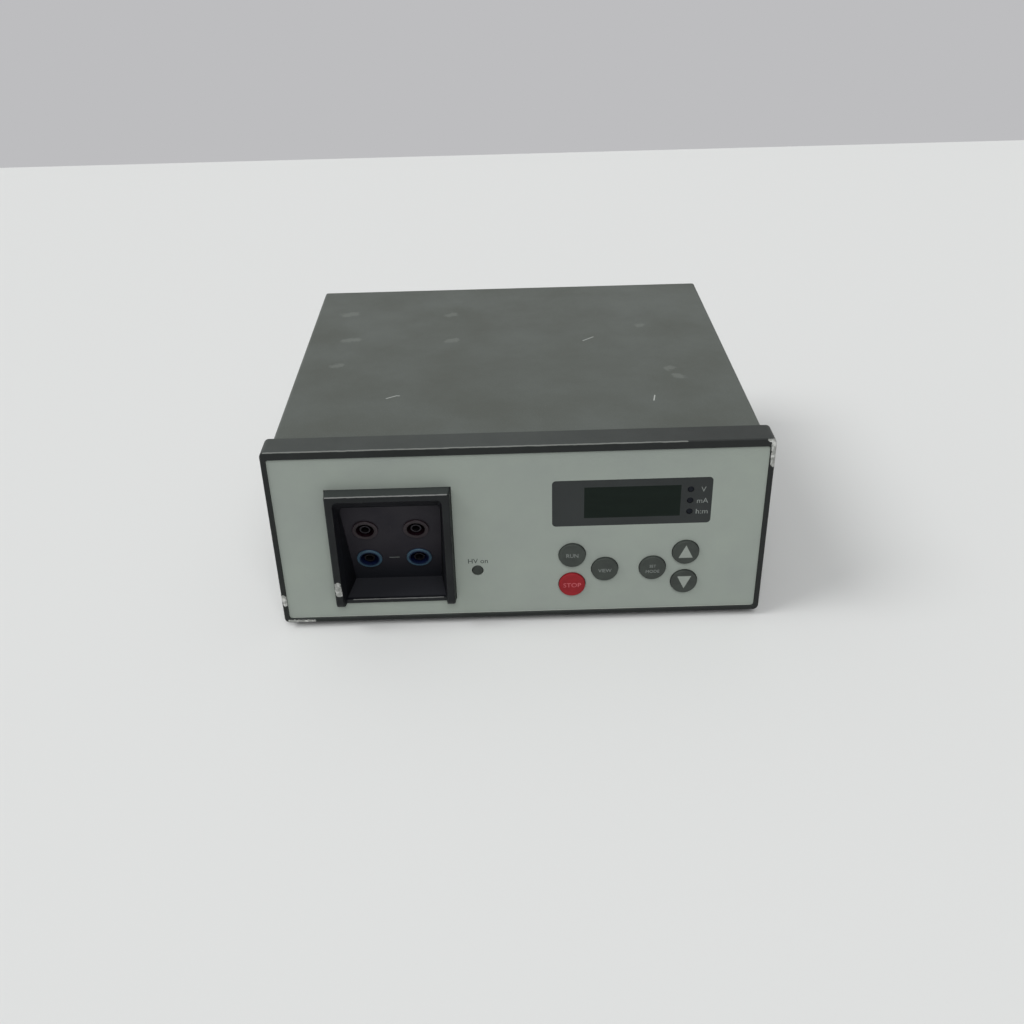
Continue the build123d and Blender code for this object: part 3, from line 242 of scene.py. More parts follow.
def turned_metal(name, colour, second, roughness, pitch):
    """Metal with fine machining lines that wander a little in brightness."""
    material = pebbled_finish(name, colour, second, roughness, pitch, 0.00002, 1.0, 0.008)
    tree = material.node_tree
    lines = add_node(tree, "TexNoise", Vector=add_node(tree, "TexCoord").outputs["Object"], Scale=1 / pitch,
                     Detail=1.0, Distortion=0.4)
    sheen = add_node(tree, "MapRange", Value=lines, From_Min=0.35, From_Max=0.65, To_Min=roughness - 0.06,
                     To_Max=roughness + 0.1)
    feed(material, Roughness=sheen)
    return material


plated_brass = turned_metal("nickel_plated_brass", "#B9B2A0", "#A29B88", 0.28, 0.0003)
dress(["board_standoffs"], plated_brass)


# Screws of the case and the boards
# Cross-recess pan-head machine screws, cold headed from steel wire, rolled and bright zinc plated.
# The domed heads carry the recess, and the plating is bright with a faint blue and straw cast.
def solid_boxes(node):
    """Lowest and highest corner of each separate solid of a CAD node, in order of X, then Y, then Z."""
    work = bmesh.new()
    work.from_mesh(nodes[node].data)
    bmesh.ops.remove_doubles(work, verts=work.verts, dist=1e-6)
    waiting = set(work.verts)
    boxes = []
    while waiting:
        front = [waiting.pop()]
        found = []
        while front:
            vert = front.pop()
            found.append(vert.co.copy())
            for edge in vert.link_edges:
                other = edge.other_vert(vert)
                if other in waiting:
                    waiting.remove(other)
                    front.append(other)
        boxes.append(tuple(Vector([side(p[k] for p in found) for k in range(3)]) for side in (min, max)))
    work.free()
    return sorted(boxes, key=lambda pair: tuple(round(c, 5) for c in pair[0]))


def turned_shape(profile, steps=32):
    """Closed solid of revolution about Z, from points of radius and height that begin and end on the axis."""
    work = bmesh.new()
    rings = []
    for radius, height in profile:
        angles = [2 * math.pi * i / steps for i in range(steps)] if radius else [0]
        rings.append([work.verts.new((radius * math.cos(a), radius * math.sin(a), height)) for a in angles])
    for low, high in zip(rings, rings[1:]):
        for i in range(steps):
            j = (i + 1) % steps
            corners = [low[i % len(low)], low[j % len(low)], high[j % len(high)], high[i % len(high)]]
            work.faces.new(list(dict.fromkeys(corners)))
    return work


def box_sections(work, rings):
    """Close a stack of rings of corners into a solid, first ring to last."""
    made = [[work.verts.new(c) for c in ring] for ring in rings]
    work.faces.new(made[0][::-1])
    work.faces.new(made[-1])
    for first, second in zip(made, made[1:]):
        for i in range(len(first)):
            j = (i + 1) % len(first)
            work.faces.new([first[i], first[j], second[j], second[i]])
    return work


def cross_outline(arm, width):
    """Corners of an upright cross, from half its span and half the width of its bars."""
    quarter = [(arm, -width), (arm, width), (width, width)]
    return [(x * c - y * s, x * s + y * c) for c, s in ((1, 0), (0, 1), (-1, 0), (0, -1)) for x, y in quarter]


def plain_object(name, work):
    """Object from bmesh work, with all faces outward."""
    bmesh.ops.recalc_face_normals(work, faces=work.faces)
    mesh = bpy.data.meshes.new(name)
    work.to_mesh(mesh)
    work.free()
    made = bpy.data.objects.new(name, mesh)
    scene.collection.objects.link(made)
    return made


def evaluated_mesh(source):
    """Plain mesh of an object as its modifiers leave it; the object itself goes."""
    bpy.context.view_layer.update()
    mesh = bpy.data.meshes.new_from_object(source.evaluated_get(bpy.context.evaluated_depsgraph_get()))
    bpy.data.objects.remove(source)
    return mesh


def smooth_faces(mesh, degrees):
    """Shade a mesh smooth but for edges sharper than an angle."""
    mesh.shade_smooth()
    mesh.set_sharp_from_angle(angle=math.radians(degrees))


def screw_mesh(name, head_radius, head, radius, reach):
    """Pan-head screw about Z with its seat at zero: domed head, cross recess and threaded shank."""
    turns = int(reach / (radius * 0.34))
    profile = [(0, -reach), (radius * 0.7, -reach)]
    for i in range(turns):
        low = -reach + reach * (i + 0.2) / turns
        profile += [(radius * 0.86, low), (radius * 0.985, low + reach * 0.4 / turns)]
    profile += [(radius * 0.9, -0.00005), (head_radius, 0), (head_radius, head * 0.45)]
    for i in range(1, 6):
        bow = math.pi / 2 * i / 6
        profile.append((head_radius * math.cos(bow) ** 0.5, head * (0.45 + 0.55 * math.sin(bow))))
    screw = plain_object(name, turned_shape(profile + [(0, head)], 24))
    outline = cross_outline(head_radius * 0.52, head_radius * 0.13)
    cutter = plain_object(name + "_cross", box_sections(bmesh.new(), [
        [(x * 0.55, y * 0.7, head * 0.38) for x, y in outline], [(x, y, head * 1.2) for x, y in outline]]))
    cut = screw.modifiers.new("cross_recess", "BOOLEAN")
    cut.object = cutter
    cut.solver = "EXACT"
    mesh = evaluated_mesh(screw)
    bpy.data.objects.remove(cutter)
    smooth_faces(mesh, 40)
    return mesh


def settle(piece, body="case", stands_for=None):
    """Let a piece ride on a body, and let it replace the CAD node it stands for."""
    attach(piece, body)
    if stands_for:
        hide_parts(stands_for)
    return piece


def new_tree(name, **inputs):
    """New geometry tree with named inputs, and the sockets that hand them over."""
    tree = bpy.data.node_groups.new(name, "GeometryNodeTree")
    tree.interface.new_socket(name="Geometry", in_out="OUTPUT", socket_type="NodeSocketGeometry")
    for title, kind in inputs.items():
        tree.interface.new_socket(name=title, in_out="INPUT", socket_type="NodeSocket" + kind)
    return tree, add_node(tree, "NodeGroupInput").outputs


def close_tree(tree, geometry, material):
    """End a geometry tree: real geometry with its material."""
    real = add_node(tree, "GeometryNodeRealizeInstances", Geometry=geometry)
    dressed = add_node(tree, "GeometryNodeSetMaterial", Geometry=real, Material=material)
    add_node(tree, "NodeGroupOutput", i0=dressed)


def run_tree(name, tree, points, values, attribute=None, body="case", stands_for=None):
    """Run a geometry tree on points and keep the result as a plain mesh that rides on a body."""
    start_mesh = bpy.data.meshes.new(name + "_points")
    start_mesh.from_pydata(points, [], [])
    if attribute:
        title, kind, field, data = attribute
        start_mesh.attributes.new(title, kind, "POINT").data.foreach_set(field, data)
    start = bpy.data.objects.new(name + "_start", start_mesh)
    scene.collection.objects.link(start)
    modifier = start.modifiers.new(name, "NODES")
    modifier.node_group = tree
    for item in tree.interface.items_tree:
        if item.item_type == "SOCKET" and item.in_out == "INPUT" and item.name in values:
            modifier[item.identifier] = values[item.name]
    made = evaluated_mesh(start)
    made.name = name
    piece = bpy.data.objects.new(name, made)
    scene.collection.objects.link(piece)
    return settle(piece, body, stands_for)


zinc_plate = turned_metal("zinc_plated_steel", "#B4B6B5", "#A9A793", 0.27, 0.0002)
screw_tree, given = new_tree("screws_on_points", Places="Geometry", Screw="Object", Plating="Material")
outward = add_node(screw_tree, "GeometryNodeInputNamedAttribute", {"data_type": "FLOAT_VECTOR"},
                   Name="outward")
aimed = add_node(screw_tree, "FunctionNodeAlignRotationToVector", {"axis": "Z"}, Vector=outward)
spin = add_node(screw_tree, "FunctionNodeRandomValue", {"data_type": "FLOAT"}, i2=0.0, i3=6.28, Seed=7)
about = add_node(screw_tree, "FunctionNodeAxisAngleToRotation", Angle=spin.outputs[1])
facing = add_node(screw_tree, "FunctionNodeRotateRotation", {"rotation_space": "LOCAL"}, Rotation=aimed,
                  Rotate_By=about)
source = add_node(screw_tree, "GeometryNodeObjectInfo", i0=given["Screw"])
placed = add_node(screw_tree, "GeometryNodeInstanceOnPoints", Points=given["Places"],
                  Instance=source.outputs["Geometry"], Rotation=facing)
close_tree(screw_tree, placed, given["Plating"])


def place_screws(node, outward_of, head_radius, head, radius):
    """Replace a node of CAD screws by detailed ones at the same places."""
    seats, ways = [], []
    for low, high in solid_boxes(node):
        seat = (low + high) / 2
        way = outward_of(seat)
        axis = max(range(3), key=lambda k: abs(way[k]))
        seat[axis] = high[axis] - head if way[axis] > 0 else low[axis] + head
        reach = high[axis] - low[axis] - head
        seats.append(seat)
        ways += way
    name = node[:-1] + "_set"
    mesh = screw_mesh(name + "_pattern", head_radius, head, radius, reach)
    pattern = bpy.data.objects.new(name + "_pattern", mesh)
    run_tree(name, screw_tree, seats, {"Screw": pattern, "Plating": zinc_plate},
             ("outward", "FLOAT_VECTOR", "vector", ways), stands_for=node)
    bpy.data.objects.remove(pattern)


M3_SIZES = (0.0028, 0.002, 0.0015)
M4_SIZES = (0.0038, 0.0024, 0.002)
board_back_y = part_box("front_board")[1].y
for node, outward_of, sizes in (
    ("foot_screws", lambda p: (0, 0, -1), M3_SIZES),
    ("board_screws", lambda p: (0, 1, 0) if p.y < board_back_y + 0.01 else (0, 0, 1), M3_SIZES),
    ("panel_screws", lambda p: (0, 1, 0), M3_SIZES),
    ("inlet_screws", lambda p: (0, 1, 0), M3_SIZES),
    ("cover_screws", lambda p: (1 if p.x > 0 else -1, 0, 0), M3_SIZES),
    ("transistor_screws", lambda p: (0, -1, 0), M3_SIZES),
    ("fan_screws", lambda p: (0, 1, 0), M4_SIZES),
):
    place_screws(node, outward_of, *sizes)


# Transformer
# A pair of sintered ferrite halves round a bobbin that is wound with enamelled copper wire.
# Ferrite is charcoal with a dull sparkle; the winding shows as close copper turns.
def ribbed(material, direction, pitch, dark, pale, strength, depth, **more):
    """Colour and relief of close parallel ribs that follow each other in a direction."""
    tree = material.node_tree
    kind = {"wave_type": "BANDS", "bands_direction": direction, "wave_profile": "SIN"}
    ribs = add_node(tree, "TexWave", kind, Vector=add_node(tree, "TexCoord").outputs["Object"],
                    Scale=2 * math.pi / pitch / 20, **more).outputs["Fac"]
    tint = add_node(tree, "Mix", {"data_type": "RGBA"}, i0=ribs, i6=linear(dark), i7=linear(pale))
    relief = add_node(tree, "Bump", Height=ribs, Strength=strength, Distance=depth)
    feed(material, Base_Color=tint.outputs[2], Normal=relief)


ferrite = pebbled_finish("sintered_ferrite", "#3A3A3C", "#2E2E30", 0.6, 0.0003, 0.00003, 0.3)
dress(["transformer_core", "choke_core"], ferrite)
enamelled_copper = finish_material("enamelled_copper_winding", "#A4552A", 0.3, 1.0)
ribbed(enamelled_copper, "Z", 0.0008, "#5E2A14", "#B5662F", 0.9, 0.0003, Distortion=0.6, Detail=1.0)
dress(["transformer_coil"], enamelled_copper)

# Choke winding
# Thick enamelled wire is wound by hand in two groups of turns round a ring core.
# Each turn is its own round wire, bright copper through clear enamel.
TURNS, TURN_STEP, FIRST_TURN = 11, 12.4, -62
HOLE_RADIUS = 0.0075
core_low, core_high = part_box("choke_core")
core_middle = (core_low + core_high) / 2
core_radius = (core_high.x - core_low.x) / 2
wire = (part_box("choke_coil")[1].z - core_high.z) * 0.42
tree, given = new_tree("turns_on_ring_core", Points="Geometry", Width="Float", Height="Float",
                       Corner="Float", Wire="Float", Copper="Material")
outline = add_node(tree, "GeometryNodeCurvePrimitiveQuadrilateral", Width=given["Width"],
                   Height=given["Height"])
rounded = add_node(tree, "GeometryNodeFilletCurve", {"mode": "POLY"}, Curve=outline,
                   Radius=given["Corner"], Count=4)
section = add_node(tree, "GeometryNodeCurvePrimitiveCircle", Resolution=8, Radius=given["Wire"])
loop = add_node(tree, "GeometryNodeCurveToMesh", Curve=rounded, i1=section)
turned = add_node(tree, "GeometryNodeInputNamedAttribute", {"data_type": "FLOAT"}, Name="turned")
angles = add_node(tree, "CombineXYZ", X=math.pi / 2, Z=turned)
placed = add_node(tree, "GeometryNodeInstanceOnPoints", Points=given["Points"], Instance=loop,
                  Rotation=angles)
close_tree(tree, placed, given["Copper"])
ring_middle = (core_radius + HOLE_RADIUS) / 2
turn_angles = [side + math.radians(FIRST_TURN + TURN_STEP * step)
               for side in (0, math.pi) for step in range(TURNS)]
turn_places = [core_middle + Vector((math.cos(a), math.sin(a), 0)) * ring_middle for a in turn_angles]
winding = run_tree("choke_winding", tree, turn_places, {
    "Width": core_radius - HOLE_RADIUS + 2 * wire, "Height": core_high.z - core_low.z + 2 * wire,
    "Corner": wire, "Wire": wire * 0.94,
    "Copper": turned_metal("enamelled_copper_wire", "#B5642F", "#9C4F24", 0.24, 0.0006),
}, ("turned", "FLOAT", "value", turn_angles), stands_for="choke_coil")
winding.data.shade_smooth()

# Heat sink and power transistors
# An extruded aluminium sink with thin fins carries three transistors in black moulded epoxy with tinned tabs.
# Extrusion leaves fine straight lines along the fins, and the epoxy is matt black.
dress(["heat_sink"], turned_metal("extruded_aluminium", "#B3B6B8", "#A6A9AB", 0.36, 0.0005))
epoxy = pebbled_finish("moulded_black_epoxy", "#1B1B1C", "#232324", 0.55, 0.0003, 0.00003, patch=0.004)
dress(["power_transistors"], epoxy)


# Bulk capacitors
# Aluminium cans in a printed blue shrink sleeve that leaves the top of each can bare.
# The sleeve is glossy, with a pale stripe down the negative side, and curls over the rim.
def pour_in(work, part):
    """Add one bmesh to another and free it."""
    held = bpy.data.meshes.new("part")
    part.to_mesh(held)
    part.free()
    work.from_mesh(held)
    bpy.data.meshes.remove(held)


def add_piece(name, work, material, body="case", stands_for=None, merge=1e-6, smooth=True):
    """Turn finished bmesh work into an object at the origin, with one material, riding on a body."""
    bmesh.ops.remove_doubles(work, verts=work.verts, dist=merge)
    piece = plain_object(name, work)
    piece.data.materials.append(material)
    if smooth:
        smooth_faces(piece.data, 35)
    return settle(piece, body, stands_for)


STRIPE_SHARE = 0.16
sleeve_blue = finish_material("shrink_sleeve", "#1E2F66", 0.22)
tree = sleeve_blue.node_tree
round_can = add_node(tree, "SeparateXYZ", Vector=add_node(tree, "TexCoord").outputs["UV"])
in_stripe = add_node(tree, "Math", {"operation": "LESS_THAN"}, i0=round_can, i1=STRIPE_SHARE)
sleeve_tint = add_node(tree, "Mix", {"data_type": "RGBA"}, i0=in_stripe, i6=linear("#1E2F66"),
                       i7=linear("#A9B3C6"))
feed(sleeve_blue, Base_Color=sleeve_tint.outputs[2])
can_metal = turned_metal("drawn_aluminium_can", "#BFC1C3", "#B2B4B6", 0.3, 0.0004)
cans = bmesh.new()
for low, high in solid_boxes("bulk_capacitors"):
    middle = (low + high) / 2
    radius = (high.x - low.x) / 2
    tall = high.z - low.z
    can = turned_shape([
        (0, 0), (radius - 0.0012, 0), (radius - 0.0003, 0.0006), (radius, 0.0016), (radius, 0.0034),
        (radius - 0.0008, 0.0044), (radius, 0.0054), (radius, tall - 0.0014),
        (radius - 0.0005, tall - 0.0004), (radius - 0.0014, tall), (radius - 0.0024, tall),
        (radius - 0.0026, tall - 0.0004), (0, tall - 0.0004),
    ], 48)
    uv = can.loops.layers.uv.new("UVMap")
    for face in can.faces:
        centre = face.calc_center_median()
        face.material_index = int(centre.xy.length < radius - 0.0025 and centre.z > tall / 2)
        start = math.atan2(centre.y, centre.x) / (2 * math.pi) + 0.5
        for corner in face.loops:
            corner[uv].uv = (start, corner.vert.co.z)
    bmesh.ops.translate(can, verts=can.verts, vec=(middle.x, middle.y, low.z))
    pour_in(cans, can)
can_set = add_piece("capacitor_cans", cans, sleeve_blue, stands_for="bulk_capacitors")
can_set.data.materials.append(can_metal)

# Relays, film capacitors and control chips
# Relays in off-white moulded covers, yellow boxed film capacitors and chips in black epoxy with tinned legs.
# All are plain moulded boxes with a satin skin; the chips stand on two rows of bent legs.
for node, name, colour, second, roughness in (
    ("output_relays", "relay_cover_plastic", "#C9C8C0", "#BDBCB3", 0.42),
    ("film_capacitors", "boxed_film_capacitor", "#C79A2B", "#B98D24", 0.35),
):
    dress([node], pebbled_finish(name, colour, second, roughness, 0.0006, 0.00002, patch=0.01))
LEG_PITCH, LEG_COUNT = 0.00254, 7
LEG_THICK = 0.0003
tree, given = new_tree("legs_along_chip", Chips="Geometry", Legs="Int", Pitch="Float", Row="Float",
                       Tin="Material")
leg = add_node(tree, "GeometryNodeJoinGeometry")
for size, lift in (((LEG_THICK, 0.0006, 0.0019), 0.00115), ((0.0009, 0.0009, LEG_THICK), 0.00017)):
    block = add_node(tree, "GeometryNodeMeshCube", Size=size)
    join(tree, leg, {"i0": add_node(tree, "GeometryNodeTransform", Geometry=block, Translation=(0, 0, lift))})
leg_line = add_node(tree, "GeometryNodeMeshLine", {"mode": "OFFSET"}, Count=given["Legs"],
                    Offset=add_node(tree, "CombineXYZ", Y=given["Pitch"]))
rows = add_node(tree, "GeometryNodeMeshLine", {"mode": "OFFSET"}, Count=2,
                Offset=add_node(tree, "CombineXYZ", X=given["Row"]))
for points in (leg_line, rows, given["Chips"]):
    leg = add_node(tree, "GeometryNodeInstanceOnPoints", Points=points, Instance=leg)
close_tree(tree, leg, given["Tin"])
chip_boxes = solid_boxes("control_chips")
row_middle = LEG_PITCH * (LEG_COUNT - 1) / 2
chip_starts = [(low.x - LEG_THICK / 2, (low.y + high.y) / 2 - row_middle, low.z) for low, high in chip_boxes]
low, high = chip_boxes[-1]
run_tree("chip_legs", tree, chip_starts, {
    "Legs": LEG_COUNT, "Pitch": LEG_PITCH, "Row": high.x - low.x + LEG_THICK,
    "Tin": turned_metal("tinned_leg", "#AEB1B2", "#9FA2A3", 0.35, 0.0004),
})
bodies = bmesh.new()
for low, high in chip_boxes:
    box_sections(bodies, [
        [(low.x + inset, low.y + inset, level), (high.x - inset, low.y + inset, level),
         (high.x - inset, high.y - inset, level), (low.x + inset, high.y - inset, level)]
        for inset, level in ((0.0004, low.z + 0.0009), (0, (high.z + low.z) / 2), (0.0004, high.z))])
add_piece("chip_bodies", bodies, epoxy, stands_for="control_chips")

# Terminal blocks and ribbon headers
# Green polyamide terminal blocks and headers stand on the boards and take the wires.
# The moulded nylon has a satin skin with small colour drift.
dress(["board_connectors"], pebbled_finish("moulded_green_nylon", "#2C7A45", "#256A3B", 0.4, 0.0006, 0.00003,
                                           patch=0.008))

# Earth stud
# A zinc-plated steel stud and nut are pressed into the tray for the earth lead.
# It is as bright as the other fixings.
dress(["earth_stud"], zinc_plate)

# Rear panel
# A flat steel plate, powder coated like the tray, with cut-outs for the inlet, the switch and the fan.
# The coat hides the cut edges, which show only a faint wear.
panel_paint = pebbled_finish("powder_coated_panel", "#5A5F5A", "#535853", 0.5, 0.0004, 0.00006)
edge_wear_and_highlight(panel_paint, 0.0006, 0.004, "#8A8E89", 0.4)
dress(["rear_panel"], panel_paint)

# Mains inlet, its contacts and the fuse drawer
# Glass-filled black polyamide moulding with three flat pins, and a small drawer that holds two fuses.
# The moulding is satin with a fine grain, and the pins are bright nickel.
black_nylon = pebbled_finish("glass_filled_nylon", "#1C1C1D", "#262627", 0.45, 0.0004, 0.00004, patch=0.006)
edge_wear_and_highlight(black_nylon, 0.0004, 0.003, "#4A4A4A", 0.35)
dress(["mains_inlet", "fuse_drawer", "switch_frame"], black_nylon)
dress(["mains_contacts"], plated_brass)


# Fuses
# Two 5 by 20 mm fuses: clear glass tubes with nickel-plated caps and a thin wire inside.
# Glass is smooth and clear, so the caps and the wire show sharply.
def rod_along_y(profile, x, z, steps=24):
    """Turned solid whose axis runs from front to rear through a place, heights of the profile being Y."""
    work = turned_shape(profile, steps)
    bmesh.ops.rotate(work, verts=work.verts, cent=(0, 0, 0), matrix=Matrix.Rotation(-math.pi / 2, 3, "X"))
    bmesh.ops.translate(work, verts=work.verts, vec=(x, 0, z))
    return work


fuse_glass = finish_material("drawn_glass_tube", "#E6EEEC", 0.05)
tree = fuse_glass.node_tree
HAZE_PATCH = 0.002
haze = add_node(tree, "TexNoise", Vector=add_node(tree, "TexCoord").outputs["Object"], Scale=1 / HAZE_PATCH,
                Detail=3.0)
smear = add_node(tree, "MapRange", Value=haze, From_Min=0.3, From_Max=0.8, To_Min=0.02, To_Max=0.12)
feed(fuse_glass, Transmission_Weight=1.0, IOR=1.5, Roughness=smear)
CAP_LENGTH, CAP_END, GLASS_WALL, FUSE_WIRE, SKIN = 0.0055, 0.0006, 0.0006, 0.00012, 0.00001
glass = bmesh.new()
caps = bmesh.new()
for low, high in solid_boxes("fuses"):
    x, z, radius = (low.x + high.x) / 2, (low.z + high.z) / 2, (high.z - low.z) / 2
    outer = radius * 0.92
    inner = outer - GLASS_WALL
    front, rear = low.y + CAP_LENGTH * 0.5, high.y - CAP_LENGTH * 0.5
    shape = [(inner, front), (outer, front), (outer, rear), (inner, rear), (inner, front)]
    pour_in(glass, rod_along_y(shape, x, z))
    for near, far, way in ((low.y, low.y + CAP_LENGTH, 1), (high.y, high.y - CAP_LENGTH, -1)):
        shape = [(0, near), (radius * 0.9, near), (radius, near + way * 0.0004), (radius, far - way * 0.0006),
                 (radius * 0.97, far), (outer + SKIN, far), (outer + SKIN, near + way * CAP_END),
                 (0, near + way * CAP_END)]
        pour_in(caps, rod_along_y(shape, x, z))
    front, rear = low.y + CAP_END, high.y - CAP_END
    pour_in(caps, rod_along_y([(0, front), (FUSE_WIRE, front), (FUSE_WIRE, rear), (0, rear)], x, z, 8))
add_piece("fuse_tubes", glass, fuse_glass, "fuse_drawer", "fuses")
cap_metal = turned_metal("nickel_plated_cap", "#C4C2BC", "#B0AEA8", 0.22, 0.0002)
add_piece("fuse_caps", caps, cap_metal, "fuse_drawer", "fuses")

# Rocker of the mains switch
# A black nylon rocker with the two generic marks of a mains switch printed in white.
# Its faces are polished by thumbs, so it is glossier than the frame round it.
dress(["switch_rocker"], pebbled_finish("polished_black_nylon", "#161617", "#202021", 0.28, 0.0005, 0.00002,
                                        patch=0.004))
mark_white = pebbled_finish("white_print", "#D8D8D2", "#C9C9C2", 0.5, 0.0003, 0.00001, patch=0.002)


def rocker_face(sign):
    """Middle and outward direction of the upper or the lower half of the rocker's face."""
    work = bmesh.new()
    work.from_mesh(nodes["switch_rocker"].data)
    pivot_z = (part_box("switch_frame")[0].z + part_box("switch_frame")[1].z) / 2
    side = [f for f in work.faces if f.normal.y > 0.75 and f.calc_area() > 1e-8
            and (f.calc_center_median().z - pivot_z) * sign > 0.001]
    total = sum(f.calc_area() for f in side)
    middle = sum((f.calc_center_median() * f.calc_area() for f in side), Vector()) / total
    normal = sum((f.normal * f.calc_area() for f in side), Vector()).normalized()
    work.free()
    return middle, normal


def oblong(half, high):
    """Corners of an upright oblong, from half its width and half its height."""
    return [(-half, -high), (half, -high), (half, high), (-half, high)]


MARK_RADIUS, MARK_LINE, MARK_THICK = 0.0013, 0.00028, 0.00003
marks = bmesh.new()
for sign in (1, -1):
    middle, normal = rocker_face(sign)
    if sign > 0:
        part = box_sections(bmesh.new(), [[(x, y, level) for x, y in oblong(MARK_LINE, MARK_RADIUS)]
                                          for level in (-MARK_THICK, MARK_THICK)])
    else:
        inner = MARK_RADIUS - 2 * MARK_LINE
        part = turned_shape([(inner, -MARK_THICK), (MARK_RADIUS, -MARK_THICK), (MARK_RADIUS, MARK_THICK),
                             (inner, MARK_THICK), (inner, -MARK_THICK)])
    turn = normal.to_track_quat("Z", "Y").to_matrix()
    bmesh.ops.rotate(part, verts=part.verts, cent=(0, 0, 0), matrix=turn)
    bmesh.ops.translate(part, verts=part.verts, vec=middle)
    pour_in(marks, part)
add_piece("rocker_marks", marks, mark_white, "switch_rocker")

# Cooling fan
# A moulded frame and a rotor of cambered blades in black glass-filled polyester, round a wound stator.
# The moulding is satin black; the blades are thin and twist towards their tips.
fan_black = pebbled_finish("moulded_fan_polyester", "#1A1A1B", "#242425", 0.42, 0.0006, 0.00003, patch=0.008)
dress(["fan_frame"], fan_black)
dress(["fan_stator"], pebbled_finish("stacked_stator_steel", "#55565A", "#46474B", 0.45, 0.0003, 0.00004,
                                     0.8, 0.002))
rotor_low, rotor_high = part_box("fan_rotor")
hub_x, hub_z = (rotor_low.x + rotor_high.x) / 2, (rotor_low.z + rotor_high.z) / 2
HUB_RADIUS, HUB_WALL, HUB_DEPTH, SHAFT_RADIUS, END_GAP = 0.0125, 0.0012, 0.01, 0.0015, 0.0007
FAN_BORE, TIP_GAP = 0.0286, 0.0011
hub_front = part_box("fan_stator")[0].y + END_GAP
hub_back = hub_front + HUB_DEPTH
hub = rod_along_y([
    (0, hub_front), (SHAFT_RADIUS, hub_front), (SHAFT_RADIUS, hub_back - HUB_WALL),
    (HUB_RADIUS - HUB_WALL, hub_back - HUB_WALL), (HUB_RADIUS - HUB_WALL, hub_front), (HUB_RADIUS, hub_front),
    (HUB_RADIUS, hub_back - 0.0016), (HUB_RADIUS - 0.0005, hub_back - 0.0005),
    (HUB_RADIUS - 0.0016, hub_back), (0.0062, hub_back), (0.006, hub_back - 0.0002), (0, hub_back - 0.0002),
], hub_x, hub_z, 64)
add_piece("rotor_hub", hub, fan_black, "fan_rotor", "fan_rotor")
tree, given = new_tree("blades_round_hub", Start="Geometry", Blades="Int", Root="Float", Tip="Float",
                       Chord="Float", Thick="Float", Plastic="Material")
sheet = add_node(tree, "GeometryNodeMeshGrid", Size_X=1.0, Size_Y=1.0, Vertices_X=9, Vertices_Y=9)
parts = add_node(tree, "SeparateXYZ", Vector=add_node(tree, "GeometryNodeInputPosition")).outputs
along = add_node(tree, "MapRange", Value=parts["X"], From_Min=-0.5, From_Max=0.5)
reach = add_node(tree, "MapRange", Value=along, To_Min=given["Root"], To_Max=given["Tip"])
pitch = add_node(tree, "MapRange", Value=along, To_Min=math.radians(46), To_Max=math.radians(30))
chord = add_node(tree, "Math", {"operation": "MULTIPLY"}, i0=parts["Y"], i1=given["Chord"])
square = add_node(tree, "Math", {"operation": "POWER"}, i0=parts["Y"], i1=2.0)
camber = add_node(tree, "Math", {"operation": "MULTIPLY_ADD"}, i0=square, i1=-0.006, i2=0.0008)
flat = add_node(tree, "CombineXYZ", X=reach, Y=camber, Z=chord)
pitched = add_node(tree, "VectorRotate", {"rotation_type": "X_AXIS"}, Vector=flat, Angle=pitch)
bent = add_node(tree, "GeometryNodeSetPosition", Geometry=sheet, Position=pitched)
thick = add_node(tree, "GeometryNodeExtrudeMesh", {"mode": "FACES"}, Mesh=bent, Offset_Scale=given["Thick"],
                 Individual=False)
solid = add_node(tree, "GeometryNodeJoinGeometry", i0=thick)
join(tree, solid, {"i0": add_node(tree, "GeometryNodeFlipFaces", Mesh=bent)})
sealed = add_node(tree, "GeometryNodeMergeByDistance", Geometry=solid, Distance=0.000005)
ring = add_node(tree, "GeometryNodeMeshLine", {"mode": "OFFSET"}, Count=given["Blades"], Offset=(0, 0, 0))
share = add_node(tree, "Math", {"operation": "DIVIDE"}, i0=add_node(tree, "GeometryNodeInputIndex"),
                 i1=given["Blades"])
angle = add_node(tree, "Math", {"operation": "MULTIPLY"}, i0=share, i1=2 * math.pi)
turned = add_node(tree, "CombineXYZ", Y=angle)
wheel = add_node(tree, "GeometryNodeInstanceOnPoints", Points=ring, Instance=sealed, Rotation=turned)
close_tree(tree, wheel, given["Plastic"])
blades = run_tree("rotor_blades", tree, [(0, 0, 0)], {
    "Blades": 7, "Root": HUB_RADIUS - 0.0004, "Tip": FAN_BORE - TIP_GAP, "Chord": 0.0125, "Thick": 0.0009,
    "Plastic": fan_black,
}, body="fan_rotor", stands_for="fan_rotor")
blades.data.transform(Matrix.Translation((hub_x, (hub_front + hub_back) / 2, hub_z)))
smooth_faces(blades.data, 35)

# Finger guard
# Bright chromed wire rings, resistance welded to two flat cross straps that end in screw eyes.
# Chrome mirrors the room, with fine drawing lines along the wire.
chrome = turned_metal("chromed_wire", "#C9CACC", "#BDBEC0", 0.14, 0.0003)
tree, given = new_tree("guard_rings", Start="Geometry", Rings="Int", Inner="Float", Outer="Float",
                       Wire="Float", Chrome="Material")
unit = add_node(tree, "GeometryNodeCurvePrimitiveCircle", Resolution=72, i4=1.0)
line = add_node(tree, "GeometryNodeMeshLine", {"mode": "OFFSET"}, Count=given["Rings"], Offset=(0, 0, 0))
last = add_node(tree, "Math", {"operation": "SUBTRACT"}, i0=given["Rings"], i1=1.0)
size = add_node(tree, "MapRange", Value=add_node(tree, "GeometryNodeInputIndex"), From_Max=last,
                To_Min=given["Inner"], To_Max=given["Outer"])
all_rings = add_node(tree, "GeometryNodeInstanceOnPoints", Points=line, Instance=unit, Scale=size)
real = add_node(tree, "GeometryNodeRealizeInstances", Geometry=all_rings)
